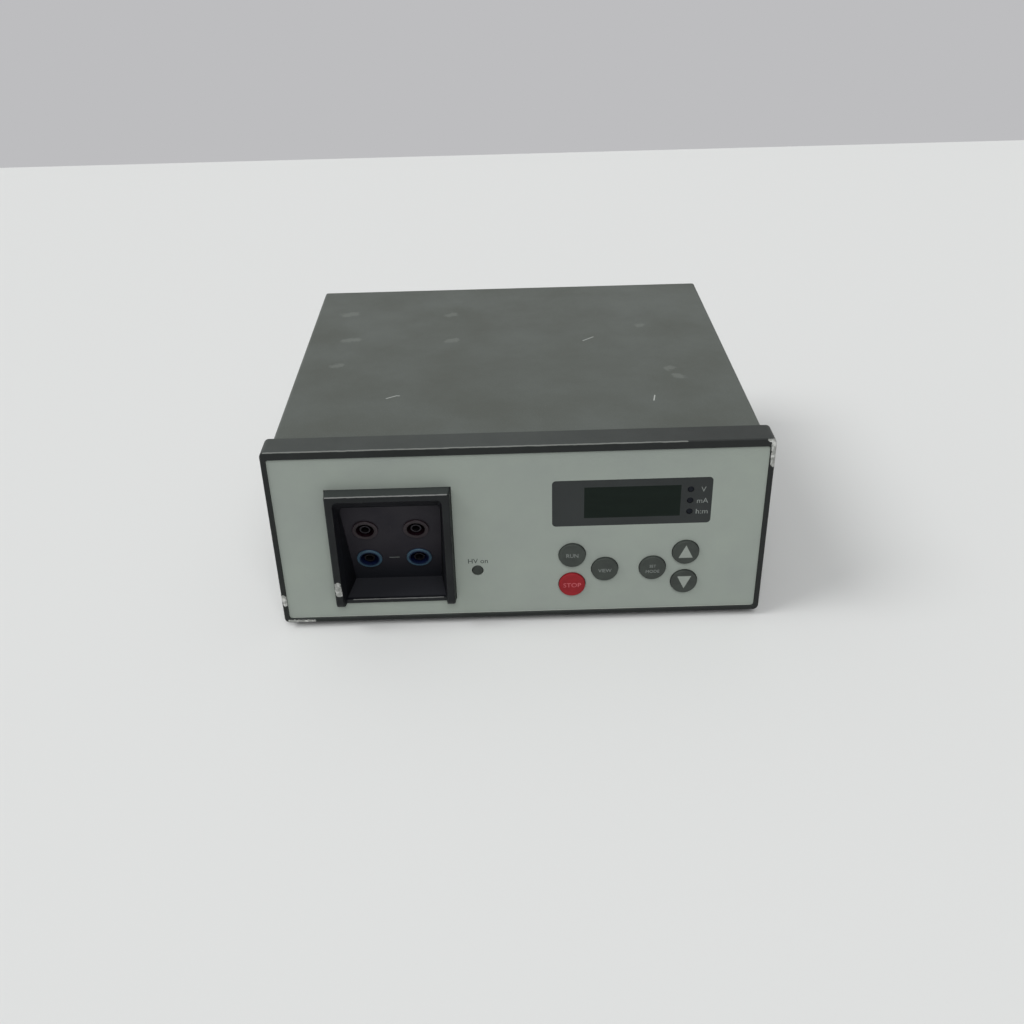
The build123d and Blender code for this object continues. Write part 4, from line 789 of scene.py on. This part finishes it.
section = add_node(tree, "GeometryNodeCurvePrimitiveCircle", Resolution=12, Radius=given["Wire"])
close_tree(tree, add_node(tree, "GeometryNodeCurveToMesh", Curve=real, i1=section), given["Chrome"])
guard_low, guard_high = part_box("fan_guard")
WIRE_RADIUS, RING_COUNT, RING_PITCH, RING_LIFT = 0.0008, 4, 0.0065, 0.00048
EYE_SPREAD, STRAP_HALF, STRAP_THICK, EYE_RADIUS = 0.025, 0.0012, 0.0012, 0.004
outer_ring = (guard_high.x - guard_low.x) / 2 - WIRE_RADIUS
strap_face = guard_low.y + STRAP_THICK
rings = run_tree("guard_rings", tree, [(0, 0, 0)], {
    "Rings": RING_COUNT, "Inner": outer_ring - (RING_COUNT - 1) * RING_PITCH, "Outer": outer_ring,
    "Wire": WIRE_RADIUS, "Chrome": chrome,
}, stands_for="fan_guard")
rings.data.transform(Matrix.Translation((hub_x, strap_face + RING_LIFT, hub_z))
                     @ Matrix.Rotation(math.pi / 2, 4, "X"))
rings.data.shade_smooth()
straps = bmesh.new()
eye_x = EYE_SPREAD * math.sqrt(2)
outline = [(0, -STRAP_HALF)]
for i in range(-10, 11):
    bend = math.pi * i / 12
    outline.append((eye_x + EYE_RADIUS * math.cos(bend), EYE_RADIUS * math.sin(bend)))
outline.append((0, STRAP_HALF))
for angle in (45, 135, 225, 315):
    levels = (guard_low.y, strap_face)
    part = box_sections(bmesh.new(), [[(x, level, y) for x, y in outline] for level in levels])
    turn = Matrix.Rotation(math.radians(angle), 3, "Y")
    bmesh.ops.rotate(part, verts=part.verts, cent=(0, 0, 0), matrix=turn)
    bmesh.ops.translate(part, verts=part.verts, vec=(hub_x, 0, hub_z))
    pour_in(straps, part)
add_piece("guard_straps", straps, chrome, stands_for="fan_guard")

# Mains and output wires
# Stranded copper leads in smooth PVC and silicone sleeves run from the inlet and to the sockets.
# The sleeve is satin, with faint creases where it was bent.
for node, name, colour, second, roughness in (
    ("mains_wires", "brown_pvc_sleeve", "#5B3420", "#4E2C1B", 0.35),
    ("output_wires", "red_silicone_sleeve", "#A82A22", "#96251E", 0.45),
):
    dress([node], pebbled_finish(name, colour, second, roughness, 0.0008, 0.00003, patch=0.006))


# Front bezel
# One moulding in dark grey ABS: a rim round the front, a plate behind the overlay and a sleeve over the case.
# Moulded ABS has a spark-eroded grain and a low sheen; its front edges are worn smooth, with pale chips.
def painted_light_on_tops(material, colour):
    """Painted light: a paler colour on the faces that point up, for the stronger light that falls on them."""
    tree = material.node_tree
    facing = add_node(tree, "SeparateXYZ", Vector=add_node(tree, "NewGeometry").outputs["Normal"])
    up = add_node(tree, "MapRange", Value=facing.outputs["Z"], From_Min=0.6, From_Max=0.95)
    lay_over(material, up, colour, 0.9)


def torn(tree, place, grain, reach):
    """Place pushed about by noise, so that shapes drawn from it get ragged edges."""
    drift = add_node(tree, "TexNoise", Vector=place, Scale=1 / grain, Detail=4.0).outputs["Color"]
    shift = add_node(tree, "VectorMath", {"operation": "SUBTRACT"}, i0=drift, i1=(0.5, 0.5, 0.5))
    push = add_node(tree, "VectorMath", {"operation": "SCALE"}, i0=shift, Scale=reach)
    return add_node(tree, "VectorMath", {"operation": "ADD"}, i0=place, i1=push)


def strokes(tree, place, ends, width, firm=0.5):
    """Factor that is 1 along straight strokes between pairs of places, or on a spot where both are one."""
    found = None
    for start, end in ends:
        line = Vector(end) - Vector(start)
        from_start = add_node(tree, "VectorMath", {"operation": "SUBTRACT"}, i0=place, i1=start)
        share = add_node(tree, "VectorMath", {"operation": "DOT_PRODUCT"}, i0=from_start,
                         i1=line / max(line.length_squared, 1e-9))
        held = add_node(tree, "Clamp", Value=share.outputs["Value"])
        foot = add_node(tree, "VectorMath", {"operation": "SCALE"}, i0=line, Scale=held)
        away = add_node(tree, "VectorMath", {"operation": "DISTANCE"}, i0=from_start, i1=foot)
        inside = add_node(tree, "MapRange", Value=away.outputs["Value"], From_Min=width,
                          From_Max=width * firm)
        if found is not None:
            inside = add_node(tree, "Math", {"operation": "MAXIMUM"}, i0=found, i1=inside)
        found = inside
    return found


def scraped(material, ends, width):
    """Bare scraped plastic along strokes, mottled between grey and silver, with a ragged border."""
    tree = material.node_tree
    place = add_node(tree, "TexCoord").outputs["Object"]
    mask = strokes(tree, torn(tree, place, 0.0011, 0.0015), ends, width, 0.85)
    lay_over(material, mask, "#8E908C", 0.97)
    grain = add_node(tree, "TexNoise", Vector=place, Scale=1 / 0.0024, Detail=4.0, Roughness=0.6)
    for low, high, colour, share in ((0.5, 0.62, "#C9CAC7", 0.85), (0.4, 0.34, "#5A5D5B", 0.7)):
        part = add_node(tree, "MapRange", Value=grain, From_Min=low, From_Max=high)
        both = add_node(tree, "Math", {"operation": "MULTIPLY"}, i0=mask, i1=part)
        lay_over(material, both, colour, share)


def scuffs_and_edge_highlights(material, ends, grain, reach, width, colour, share):
    """Lay a colour along strokes with ragged borders."""
    tree = material.node_tree
    ragged = torn(tree, add_node(tree, "TexCoord").outputs["Object"], grain, reach)
    lay_over(material, strokes(tree, ragged, ends, width), colour, share)


def moulded_abs(name, colour, second, roughness, patch, gloss):
    """Grained ABS as it leaves an eroded mould."""
    return pebbled_finish(name, colour, second, roughness, 0.0004, 0.00005, patch=patch, gloss=gloss)


bezel_abs = moulded_abs("moulded_abs_bezel", "#232625", "#1E2120", 0.5, 0.02, 0.2)
tree = bezel_abs.node_tree
bezel_low, bezel_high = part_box("front_bezel")
left, right, low, high = bezel_low.x, bezel_high.x, bezel_low.z, bezel_high.z
DARKENING_FROM, DARKENING_TO = 0.0, 0.09
# Painted light: the bezel's upward faces are made paler.
painted_light_on_tops(bezel_abs, "#3F4341")
# Pale stretches along the sharp edges: wear, and painted highlight.
edge_wear_and_highlight(bezel_abs, 0.0007, 0.006, "#565A57", 0.4)
# Darker towards the right, from the middle of the bezel to 90 mm out.
across = add_node(tree, "SeparateXYZ", Vector=add_node(tree, "TexCoord").outputs["Object"])
right_end_darkening = add_node(tree, "MapRange", Value=across, From_Min=DARKENING_FROM, From_Max=DARKENING_TO)
lay_over(bezel_abs, right_end_darkening, "#222424", 0.55)
# Painted highlight, with some wear: a pale ragged line along the top front edge.
scuffs_and_edge_highlights(bezel_abs, [((left + 0.002, RIM_Y + 0.0002, high - 0.0002), (0.079, RIM_Y + 0.0002, high - 0.0002))],
        0.004, 0.0007, 0.00045, "#7C7F7B", 0.75)
scraped(bezel_abs, [
    ((right - 0.0011, RIM_Y, high - 0.0014), (right - 0.0008, RIM_Y, high - 0.0138)),
    ((left + 0.0013, RIM_Y, low + 0.0160), (left + 0.0017, RIM_Y, low + 0.0118)),
], 0.0014)
scraped(bezel_abs, [
    ((left + 0.0022, RIM_Y, low + 0.0013), (left + 0.0150, RIM_Y, low + 0.0011)),
    ((right - 0.0036, RIM_Y, high - 0.0008), (right - 0.0012, RIM_Y, high - 0.0010)),
], 0.0008)
dress(["front_bezel"], bezel_abs)

# Socket recess and plate
# Drafted black ABS walls with a sloping roof, and a leaning plate with four holes at their back.
# The moulding is near black with a slightly violet cast and a dull, finely eroded skin.
recess_abs = moulded_abs("moulded_abs_recess", "#121318", "#0E0F13", 0.6, 0.015, 0.15)
# Painted light: the upward faces of the recess are made paler.
painted_light_on_tops(recess_abs, "#2B2C30")
dress(["socket_recess"], recess_abs)
plate_abs = moulded_abs("moulded_abs_plate", "#28262B", "#242228", 0.6, 0.015, 0.2)
tree = plate_abs.node_tree
up = add_node(tree, "SeparateXYZ", Vector=add_node(tree, "TexCoord").outputs["Object"]).outputs["Z"]
foot_shade = add_node(tree, "MapRange", Value=up, From_Min=RIM_LOW + 0.036, From_Max=RIM_LOW + 0.016)
lay_over(plate_abs, foot_shade, "#171B20", 0.75)
dress(["socket_plate"], plate_abs)


# Socket hood
# A separate ABS moulding of two rails, a top bar and a low sill, bonded over the panel opening.
# The same grained ABS as the bezel, with painted light on its upward faces, painted highlights along its
# edges, painted shade inside its mouth, and chipped at one foot.
def within(tree, place, low, high):
    """Factor that is 1 where a place lies between two corners, on the axes that have a limit."""
    parts = add_node(tree, "SeparateXYZ", Vector=place)
    inside = None
    for k in range(3):
        for limit, edge in ((low[k], 0.00005), (high[k], -0.00005)):
            if limit is None:
                continue
            test = add_node(tree, "MapRange", Value=parts.outputs[k], From_Min=limit - edge,
                            From_Max=limit + edge)
            if inside is not None:
                test = add_node(tree, "Math", {"operation": "MULTIPLY"}, i0=inside, i1=test)
            inside = test
    return inside


hood_abs = moulded_abs("moulded_abs_hood", "#1B1E1F", "#17191A", 0.5, 0.012, 0.2)
tree = hood_abs.node_tree
hood_low, hood_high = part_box("socket_hood")
left, right, front, high = hood_low.x + 0.0006, hood_high.x - 0.0006, hood_low.y, hood_high.z
RAIL = 0.0035
SILL_RISE = 0.0139
sill_front = RIM_Y - 0.0004
sill_top = RIM_LOW + SILL_RISE
# Painted light: the hood's upward faces are made paler.
painted_light_on_tops(hood_abs, "#363A39")
# Pale stretches along the sharp edges, round the mouth too: painted highlight, with some wear.
edge_wear_and_highlight(hood_abs, 0.0006, 0.005, "#4A4D4B", 0.5)
# Painted shade: the walls inside the hood's mouth are laid over with near black.
mouth = within(tree, add_node(tree, "TexCoord").outputs["Object"],
               (left + RAIL - 0.0001, front + 0.0003, None), (right - RAIL + 0.0001, None, high - 0.003))
facing = add_node(tree, "SeparateXYZ", Vector=add_node(tree, "NewGeometry").outputs["Normal"])
inner_wall_shade = add_node(tree, "MapRange", Value=facing.outputs["Y"], From_Min=-0.95, From_Max=-0.8)
both = add_node(tree, "Math", {"operation": "MULTIPLY"}, i0=mouth, i1=inner_wall_shade)
lay_over(hood_abs, both, "#101116", 0.95)
# Painted highlights: pale ragged lines along the top front edge and along the front edge of the sill.
scuffs_and_edge_highlights(hood_abs, [
    ((left + 0.0006, front + 0.0002, high - 0.0002), (right - 0.001, front + 0.0002, high - 0.0002)),
    ((left + 0.008, sill_front, sill_top), (right - 0.006, sill_front, sill_top)),
], 0.003, 0.0006, 0.0004, "#8A8B89", 0.65)
foot_chip = [((left + 0.0017, front, RIM_LOW + 0.0268), (left + 0.0021, front, RIM_LOW + 0.0212))]
scraped(hood_abs, foot_chip, 0.0017)
dress(["socket_hood"], hood_abs)

# Shrouded sockets, their contacts and nuts
# Turned-looking polyamide shrouds, red for plus and blue for minus, round nickel-plated tubes.
# Polyamide is glossy and slightly clear, so the dyed rings glow a little at their rims.
PLATE_LEAN = math.radians(16.0)
PLATE_FOOT = Vector((0, RIM_Y + 0.0185, sill_top))
RED_ROW, BLUE_ROW, FLANGE = 0.03735, 0.0159, 0.0008
plate_outward = Vector((0, -math.cos(PLATE_LEAN), -math.sin(PLATE_LEAN)))
plate_up = Vector((0, -math.sin(PLATE_LEAN), math.cos(PLATE_LEAN)))
for node, name, ring, deep, bore_shade, row in (
    ("red_sockets", "dyed_red_polyamide", "#271C22", "#231A1F", "#170A10", RED_ROW),
    ("blue_sockets", "dyed_blue_polyamide", "#3C5566", "#344956", "#0A1230", BLUE_ROW),
):
    dyed = pebbled_finish(name, ring, deep, 0.35, 0.0005, 0.00002, patch=0.004, gloss=0.3)
    tree = dyed.node_tree
    feed(dyed, Subsurface_Weight=0.08, Subsurface_Radius=(0.001, 0.0008, 0.0006))
    edge_wear_and_highlight(dyed, 0.0003, 0.002, "#6B7884", 0.15)
    # Painted shade: all of the shroud that lies within 0.6 mm of the plate or behind it, and a ball round
    # each bore's mouth, are laid over with a near-black colour.
    place = add_node(tree, "TexCoord").outputs["Object"]
    from_foot = add_node(tree, "VectorMath", {"operation": "SUBTRACT"}, i0=place, i1=PLATE_FOOT)
    proud = add_node(tree, "VectorMath", {"operation": "DOT_PRODUCT"}, i0=from_foot, i1=plate_outward)
    sunk_shade = add_node(tree, "MapRange", Value=proud.outputs["Value"], From_Min=0.0006, From_Max=0.0001)
    lay_over(dyed, sunk_shade, bore_shade, 0.95)
    faces = [PLATE_FOOT + plate_up * row + plate_outward * FLANGE + Vector(((low.x + high.x) / 2, 0, 0))
             for low, high in solid_boxes(node)]
    lay_over(dyed, strokes(tree, place, [(face, face) for face in faces], 0.0053, 0.94), bore_shade, 0.9)
    dress([node], dyed)
# Painted shade: the nickel of the contacts and nuts is made near black, for the depth of the bores.
shaded_socket_nickel = turned_metal("shaded_nickel_contact", "#3E3C40", "#322F34", 0.45, 0.0002)
dress(["socket_contacts", "socket_nuts"], shaded_socket_nickel)

# Front board, push switches and ribbon cable
# A second glass epoxy board stands behind the panel with six push switches; a flat cable joins the boards.
# The cable is grey PVC with a rib for each conductor and one red edge.
CONDUCTOR_PITCH = 0.00127
dress(["front_board"], board_green)
dress(["push_switches"], epoxy)
ribbon_pvc = finish_material("ribbed_pvc_cable", "#9B9B9D", 0.5)
ribbed(ribbon_pvc, "X", CONDUCTOR_PITCH, "#77777A", "#A3A3A5", 0.8, 0.0004)
tree = ribbon_pvc.node_tree
across = add_node(tree, "SeparateXYZ", Vector=add_node(tree, "TexCoord").outputs["Object"])
red_edge = add_node(tree, "Math", {"operation": "LESS_THAN"}, i0=across,
                    i1=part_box("ribbon_cable")[0].x + CONDUCTOR_PITCH)
lay_over(ribbon_pvc, red_edge, "#A03030")
dress(["ribbon_cable"], ribbon_pvc)

# Digit display
# A potted module with four seven-segment digits, each segment a bar of clear resin in a black face.
# Unlit segments are pale grey; the face round them is matt black.
module_low, module_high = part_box("digit_display")
dress(["digit_display"], epoxy)
SEGMENT, BAR, SEGMENT_THICK, DIGIT_PITCH, SLANT = 0.0046, 0.0009, 0.00008, 0.0108, 0.12
segments = bmesh.new()
first_x = (module_low.x + module_high.x) / 2 - 1.5 * DIGIT_PITCH
digit_z = (module_low.z + module_high.z) / 2
half, thin = SEGMENT / 2 - 0.0002, BAR / 2
bar = [(-half, 0), (-half + thin, -thin), (half - thin, -thin), (half, 0), (half - thin, thin),
       (-half + thin, thin)]
for digit in range(4):
    for u, w, upright in ((0, 2, 0), (0, 0, 0), (0, -2, 0), (-1, 1, 1), (1, 1, 1), (-1, -1, 1), (1, -1, 1)):
        x, z = first_x + digit * DIGIT_PITCH + u * SEGMENT / 2, w * SEGMENT / 2
        outline = [(-b, a) for a, b in bar] if upright else bar
        box_sections(segments, [[(x + a + (z + b) * SLANT, y, digit_z + z + b) for a, b in outline]
                                for y in (module_low.y + 0.00002, module_low.y - SEGMENT_THICK)])
segment_resin = pebbled_finish("unlit_segment_resin", "#6A6E6A", "#5E625E", 0.35, 0.0004, 0.00002,
                               patch=0.002)
add_piece("digit_segments", segments, segment_resin)


# Front overlay
# A pale grey-green polyester sheet, printed on the back and bonded to the plate round the hood and the keys.
# The film has a very fine matt tooth, slight dirt in soft clouds, and thin pale or dark printed legends.
def ink(name, colour, second, roughness=0.5):
    """Printed ink with a trace of the film's tooth."""
    return pebbled_finish(name, colour, second, roughness, 0.0004, 0.00001, patch=0.003, gloss=0.2)


overlay_film = pebbled_finish("printed_polyester_film", "#929A92", "#8D948E", 0.5, 0.0005, 0.00003,
                              patch=0.05, gloss=0.2)
overlay_low, overlay_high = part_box("front_overlay")
overlay_y = overlay_low.y
lit_edge = [[(x, overlay_y, overlay_low.z) for x in (overlay_low.x + 0.002, overlay_high.x - 0.002)]]
tree = overlay_film.node_tree
place = add_node(tree, "TexCoord").outputs["Object"]
lay_over(overlay_film, strokes(tree, place, lit_edge, 0.0006), "#B4BAB3", 0.6)
dress(["front_overlay"], overlay_film)
PRINT_PROUD = 0.00002
CAPITAL_SHARE = 0.72
LEGEND_HIGH = 0.0028
print_dim = ink("dim_grey_print", "#7F8481", "#777C79")
print_film = ink("film_coloured_print", "#8F958F", "#898F89")
print_dark = ink("dark_print", "#333937", "#2D3331")


def legend(name, words, x, y, z, height, material, wide=1.0, body="case"):
    """Printed words as a thin mesh that faces the front, centred on a place, with capitals of a height."""
    curve = bpy.data.curves.new(name, "FONT")
    curve.body = words
    curve.align_x = "CENTER"
    curve.size = height / CAPITAL_SHARE
    curve.extrude = PRINT_PROUD
    curve.resolution_u = 3
    writing = bpy.data.objects.new(name + "_curve", curve)
    scene.collection.objects.link(writing)
    mesh = evaluated_mesh(writing)
    stand = Matrix.Rotation(math.pi / 2, 4, "X") @ Matrix.Diagonal((wide, 1, 1, 1))
    mesh.transform(Matrix.Translation((x, y, z - height / 2)) @ stand)
    work = bmesh.new()
    work.from_mesh(mesh)
    return add_piece(name, work, material, body, merge=1e-7, smooth=False)


def flat_print(name, outline, x, y, z, material, body="case"):
    """Printed flat shape from an outline in X and Z round a place, facing the front."""
    work = box_sections(bmesh.new(), [[(x + u, level, z + w) for u, w in outline]
                                      for level in (y + PRINT_PROUD, y - PRINT_PROUD)])
    return add_piece(name, work, material, body, merge=1e-7, smooth=False)


lamp_low, lamp_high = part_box("voltage_lamp")
lamp_x = (lamp_low.x + lamp_high.x) / 2
legend("lamp_legend", "HV on", lamp_x + 0.0003, overlay_y, RIM_LOW + 0.0343, LEGEND_HIGH, print_dark)

# Display surround, window and unit lamps
# A dark printed area of the film with a green acrylic filter, and three small lamps beside their units.
# The print is matt; the acrylic is glossy and almost black, with faint wipe marks.
surround_print = pebbled_finish("dark_grey_print", "#303333", "#2C2F2F", 0.5, 0.0005, 0.00002, patch=0.03,
                                gloss=0.2)
dress(["display_surround"], surround_print)
filter_acrylic = finish_material("tinted_acrylic_filter", "#15201B", 0.35, gloss=0.12)
tree = filter_acrylic.node_tree
place = add_node(tree, "TexCoord").outputs["Object"]
wipes = add_node(tree, "Mapping", Vector=place, Rotation=(0, 0.5, 0), Scale=(1 / 0.02, 1 / 0.02, 1 / 0.003))
streaks = add_node(tree, "TexNoise", Vector=wipes, Scale=1.0, Detail=5.0)
smear = add_node(tree, "MapRange", Value=streaks, From_Min=0.35, From_Max=0.75, To_Min=0.3, To_Max=0.45)
tint = add_node(tree, "Mix", {"data_type": "RGBA"}, i0=streaks, i6=linear("#0B140F"), i7=linear("#131D18"))
feed(filter_acrylic, Base_Color=tint.outputs[2], Roughness=smear)
dress(["display_window"], filter_acrylic)
lamp_epoxy = pebbled_finish("unlit_lamp_epoxy", "#15181F", "#11141A", 0.5, 0.0006, 0.00001, patch=0.003,
                            gloss=0.1)
dress(["status_lamps"], lamp_epoxy)
for name, unit, x, z, wide in (
    ("unit_V", "V", 0.0885, 0.0719, 1.0), ("unit_mA", "mA", 0.0882, 0.0656, 1.0),
    ("unit_h_m", "h:m", 0.0883, 0.0596, 1.08),
):
    legend(name, unit, x, overlay_y, RIM_LOW + z, LEGEND_HIGH, print_dim, wide)

# High-voltage lamp
# A flat-faced epoxy lamp that stands a little proud of the film.
# The resin is smoky grey while the lamp is off, with a paler dusty rim.
lamp_resin = pebbled_finish("smoky_lamp_epoxy", "#363B37", "#303531", 0.4, 0.0006, 0.00001, patch=0.003,
                            gloss=0.2)
edge_wear_and_highlight(lamp_resin, 0.0003, 0.002, "#5C615D", 0.4)
dress(["voltage_lamp"], lamp_resin)

# Keys
# Six round keys: flat film discs over push switches, dark grey apart from a red one that stops the run.
# The film has the overlay's matt tooth; legends are printed small and pale in its middle.
for keys, name, colour, second, worn in (
    (("run", "view", "set", "up", "down"), "matt_key_film", "#3D423E", "#373B38", "#6B6E6A"),
    (("stop",), "red_key_film", "#8A1C23", "#7E1920", "#C05A5E"),
):
    key_film = pebbled_finish(name, colour, second, 0.5, 0.0005, 0.00003, patch=0.006, gloss=0.2)
    edge_wear_and_highlight(key_film, 0.0003, 0.002, worn, 0.3)
    dress(["key_" + key for key in keys], key_film)
print_rose = ink("rose_print", "#BC6066", "#B0555B")
for node, words, rise, size, wide, colour, slot in (
    ("key_run", "RUN", 0.0002, 0.0023, 0.95, print_dim, "key_grey"),
    ("key_view", "VIEW", -0.0004, 0.0021, 0.95, print_dim, "key_grey"),
    ("key_set", "SET", 0.0014, 0.0017, 0.9, print_dim, "key_grey"),
    ("key_set", "MODE", -0.0017, 0.0017, 1.05, print_dim, "key_grey"),
    ("key_stop", "STOP", 0.0, 0.0026, 1.05, print_rose, "key_red"),
):
    low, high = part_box(node)
    middle = (low + high) / 2
    legend(words.lower() + "_legend", words, middle.x, low.y, middle.z + rise, size, colour, wide, node)
TRIANGLE_HALF, TRIANGLE_HIGH = 0.0035, 0.00365
for node, way, rise in (("key_up", 1, 0.0008), ("key_down", -1, -0.0002)):
    low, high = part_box(node)
    middle = (low + high) / 2
    base = -way * TRIANGLE_HIGH
    outline = [(-TRIANGLE_HALF, base), (TRIANGLE_HALF, base), (0, -base)]
    flat_print(node + "_mark", outline, middle.x, low.y, middle.z + rise, print_film, node)

# Polarity marks of the sockets
# A thin minus sign is printed on the leaning plate between the blue sockets, and a plus between the red ones.
# The ink is grey and thin, and most of the plus has rubbed away.
MARK_HALF, MARK_THIN = 0.0026, 0.00018
print_worn = ink("worn_grey_print", "#2C2A2E", "#29272C", 0.6)
blue_boxes = solid_boxes("blue_sockets")
mark_x = (blue_boxes[0][0].x + blue_boxes[-1][1].x) / 2
on_plate = Matrix.Translation(PLATE_FOOT + Vector((mark_x, 0, 0))) @ Matrix.Rotation(PLATE_LEAN, 4, "X")
for name, row, outline, colour in (
    ("minus_mark", BLUE_ROW, oblong(MARK_HALF, MARK_THIN), print_dim),
    ("plus_mark", RED_ROW, cross_outline(MARK_HALF, MARK_THIN), print_worn),
):
    mark = flat_print(name, outline, 0, 0, row, colour)
    mark.data.transform(on_plate)

# Top cover
# One steel sheet folded into the roof and both sides, with a fine textured powder coat in grey green.
# The coat is pebbled and even, rubbed paler along the folds, with a few pale scratches and smudges on top.
cover_paint = pebbled_finish("textured_powder_coat", "#505551", "#4C504B", 0.5, 0.0006, 0.0001, patch=0.05,
                             gloss=0.25)
tree = cover_paint.node_tree
SPECK_SIZE = 0.0005
place = add_node(tree, "TexCoord").outputs["Object"]
speckle = add_node(tree, "TexNoise", Vector=place, Scale=1 / SPECK_SIZE, Detail=1.0)
specks = add_node(tree, "MapRange", Value=speckle, From_Min=0.58, From_Max=0.72)
lay_over(cover_paint, specks, "#7B807B", 0.3)
edge_wear_and_highlight(cover_paint, 0.0008, 0.008, "#858A85", 0.5)
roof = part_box("top_cover")[1].z


def on_roof(*pairs):
    """Ends of strokes on the roof, from X and Y of both ends."""
    return [((x, y, roof), (end_x, end_y, roof)) for x, y, end_x, end_y in pairs]


scuffs_and_edge_highlights(cover_paint, on_roof(
    (-0.1009, 0.0714, -0.095, 0.0735), (-0.0966, 0.0306, -0.09, 0.032), (-0.0372, 0.0665, -0.035, 0.068),
    (-0.036, 0.0262, -0.033, 0.027), (-0.0981, -0.0058, -0.096, -0.005), (0.0874, -0.0321, 0.086, -0.03),
    (0.0825, -0.0211, 0.0835, -0.02), (0.0746, 0.0415, 0.075, 0.042),
), 0.003, 0.006, 0.0035, "#777C77", 0.35)
scratches = on_roof((-0.0665, -0.0490, -0.0615, -0.0460), (-0.0615, -0.0460, -0.0600, -0.0462),
                    (0.0400, 0.0210, 0.0462, 0.0262), (0.0700, -0.0600, 0.0712, -0.0540))
lay_over(cover_paint, strokes(tree, place, scratches, 0.0004), "#B5B9B5", 0.8)
dress(["top_cover"], cover_paint)
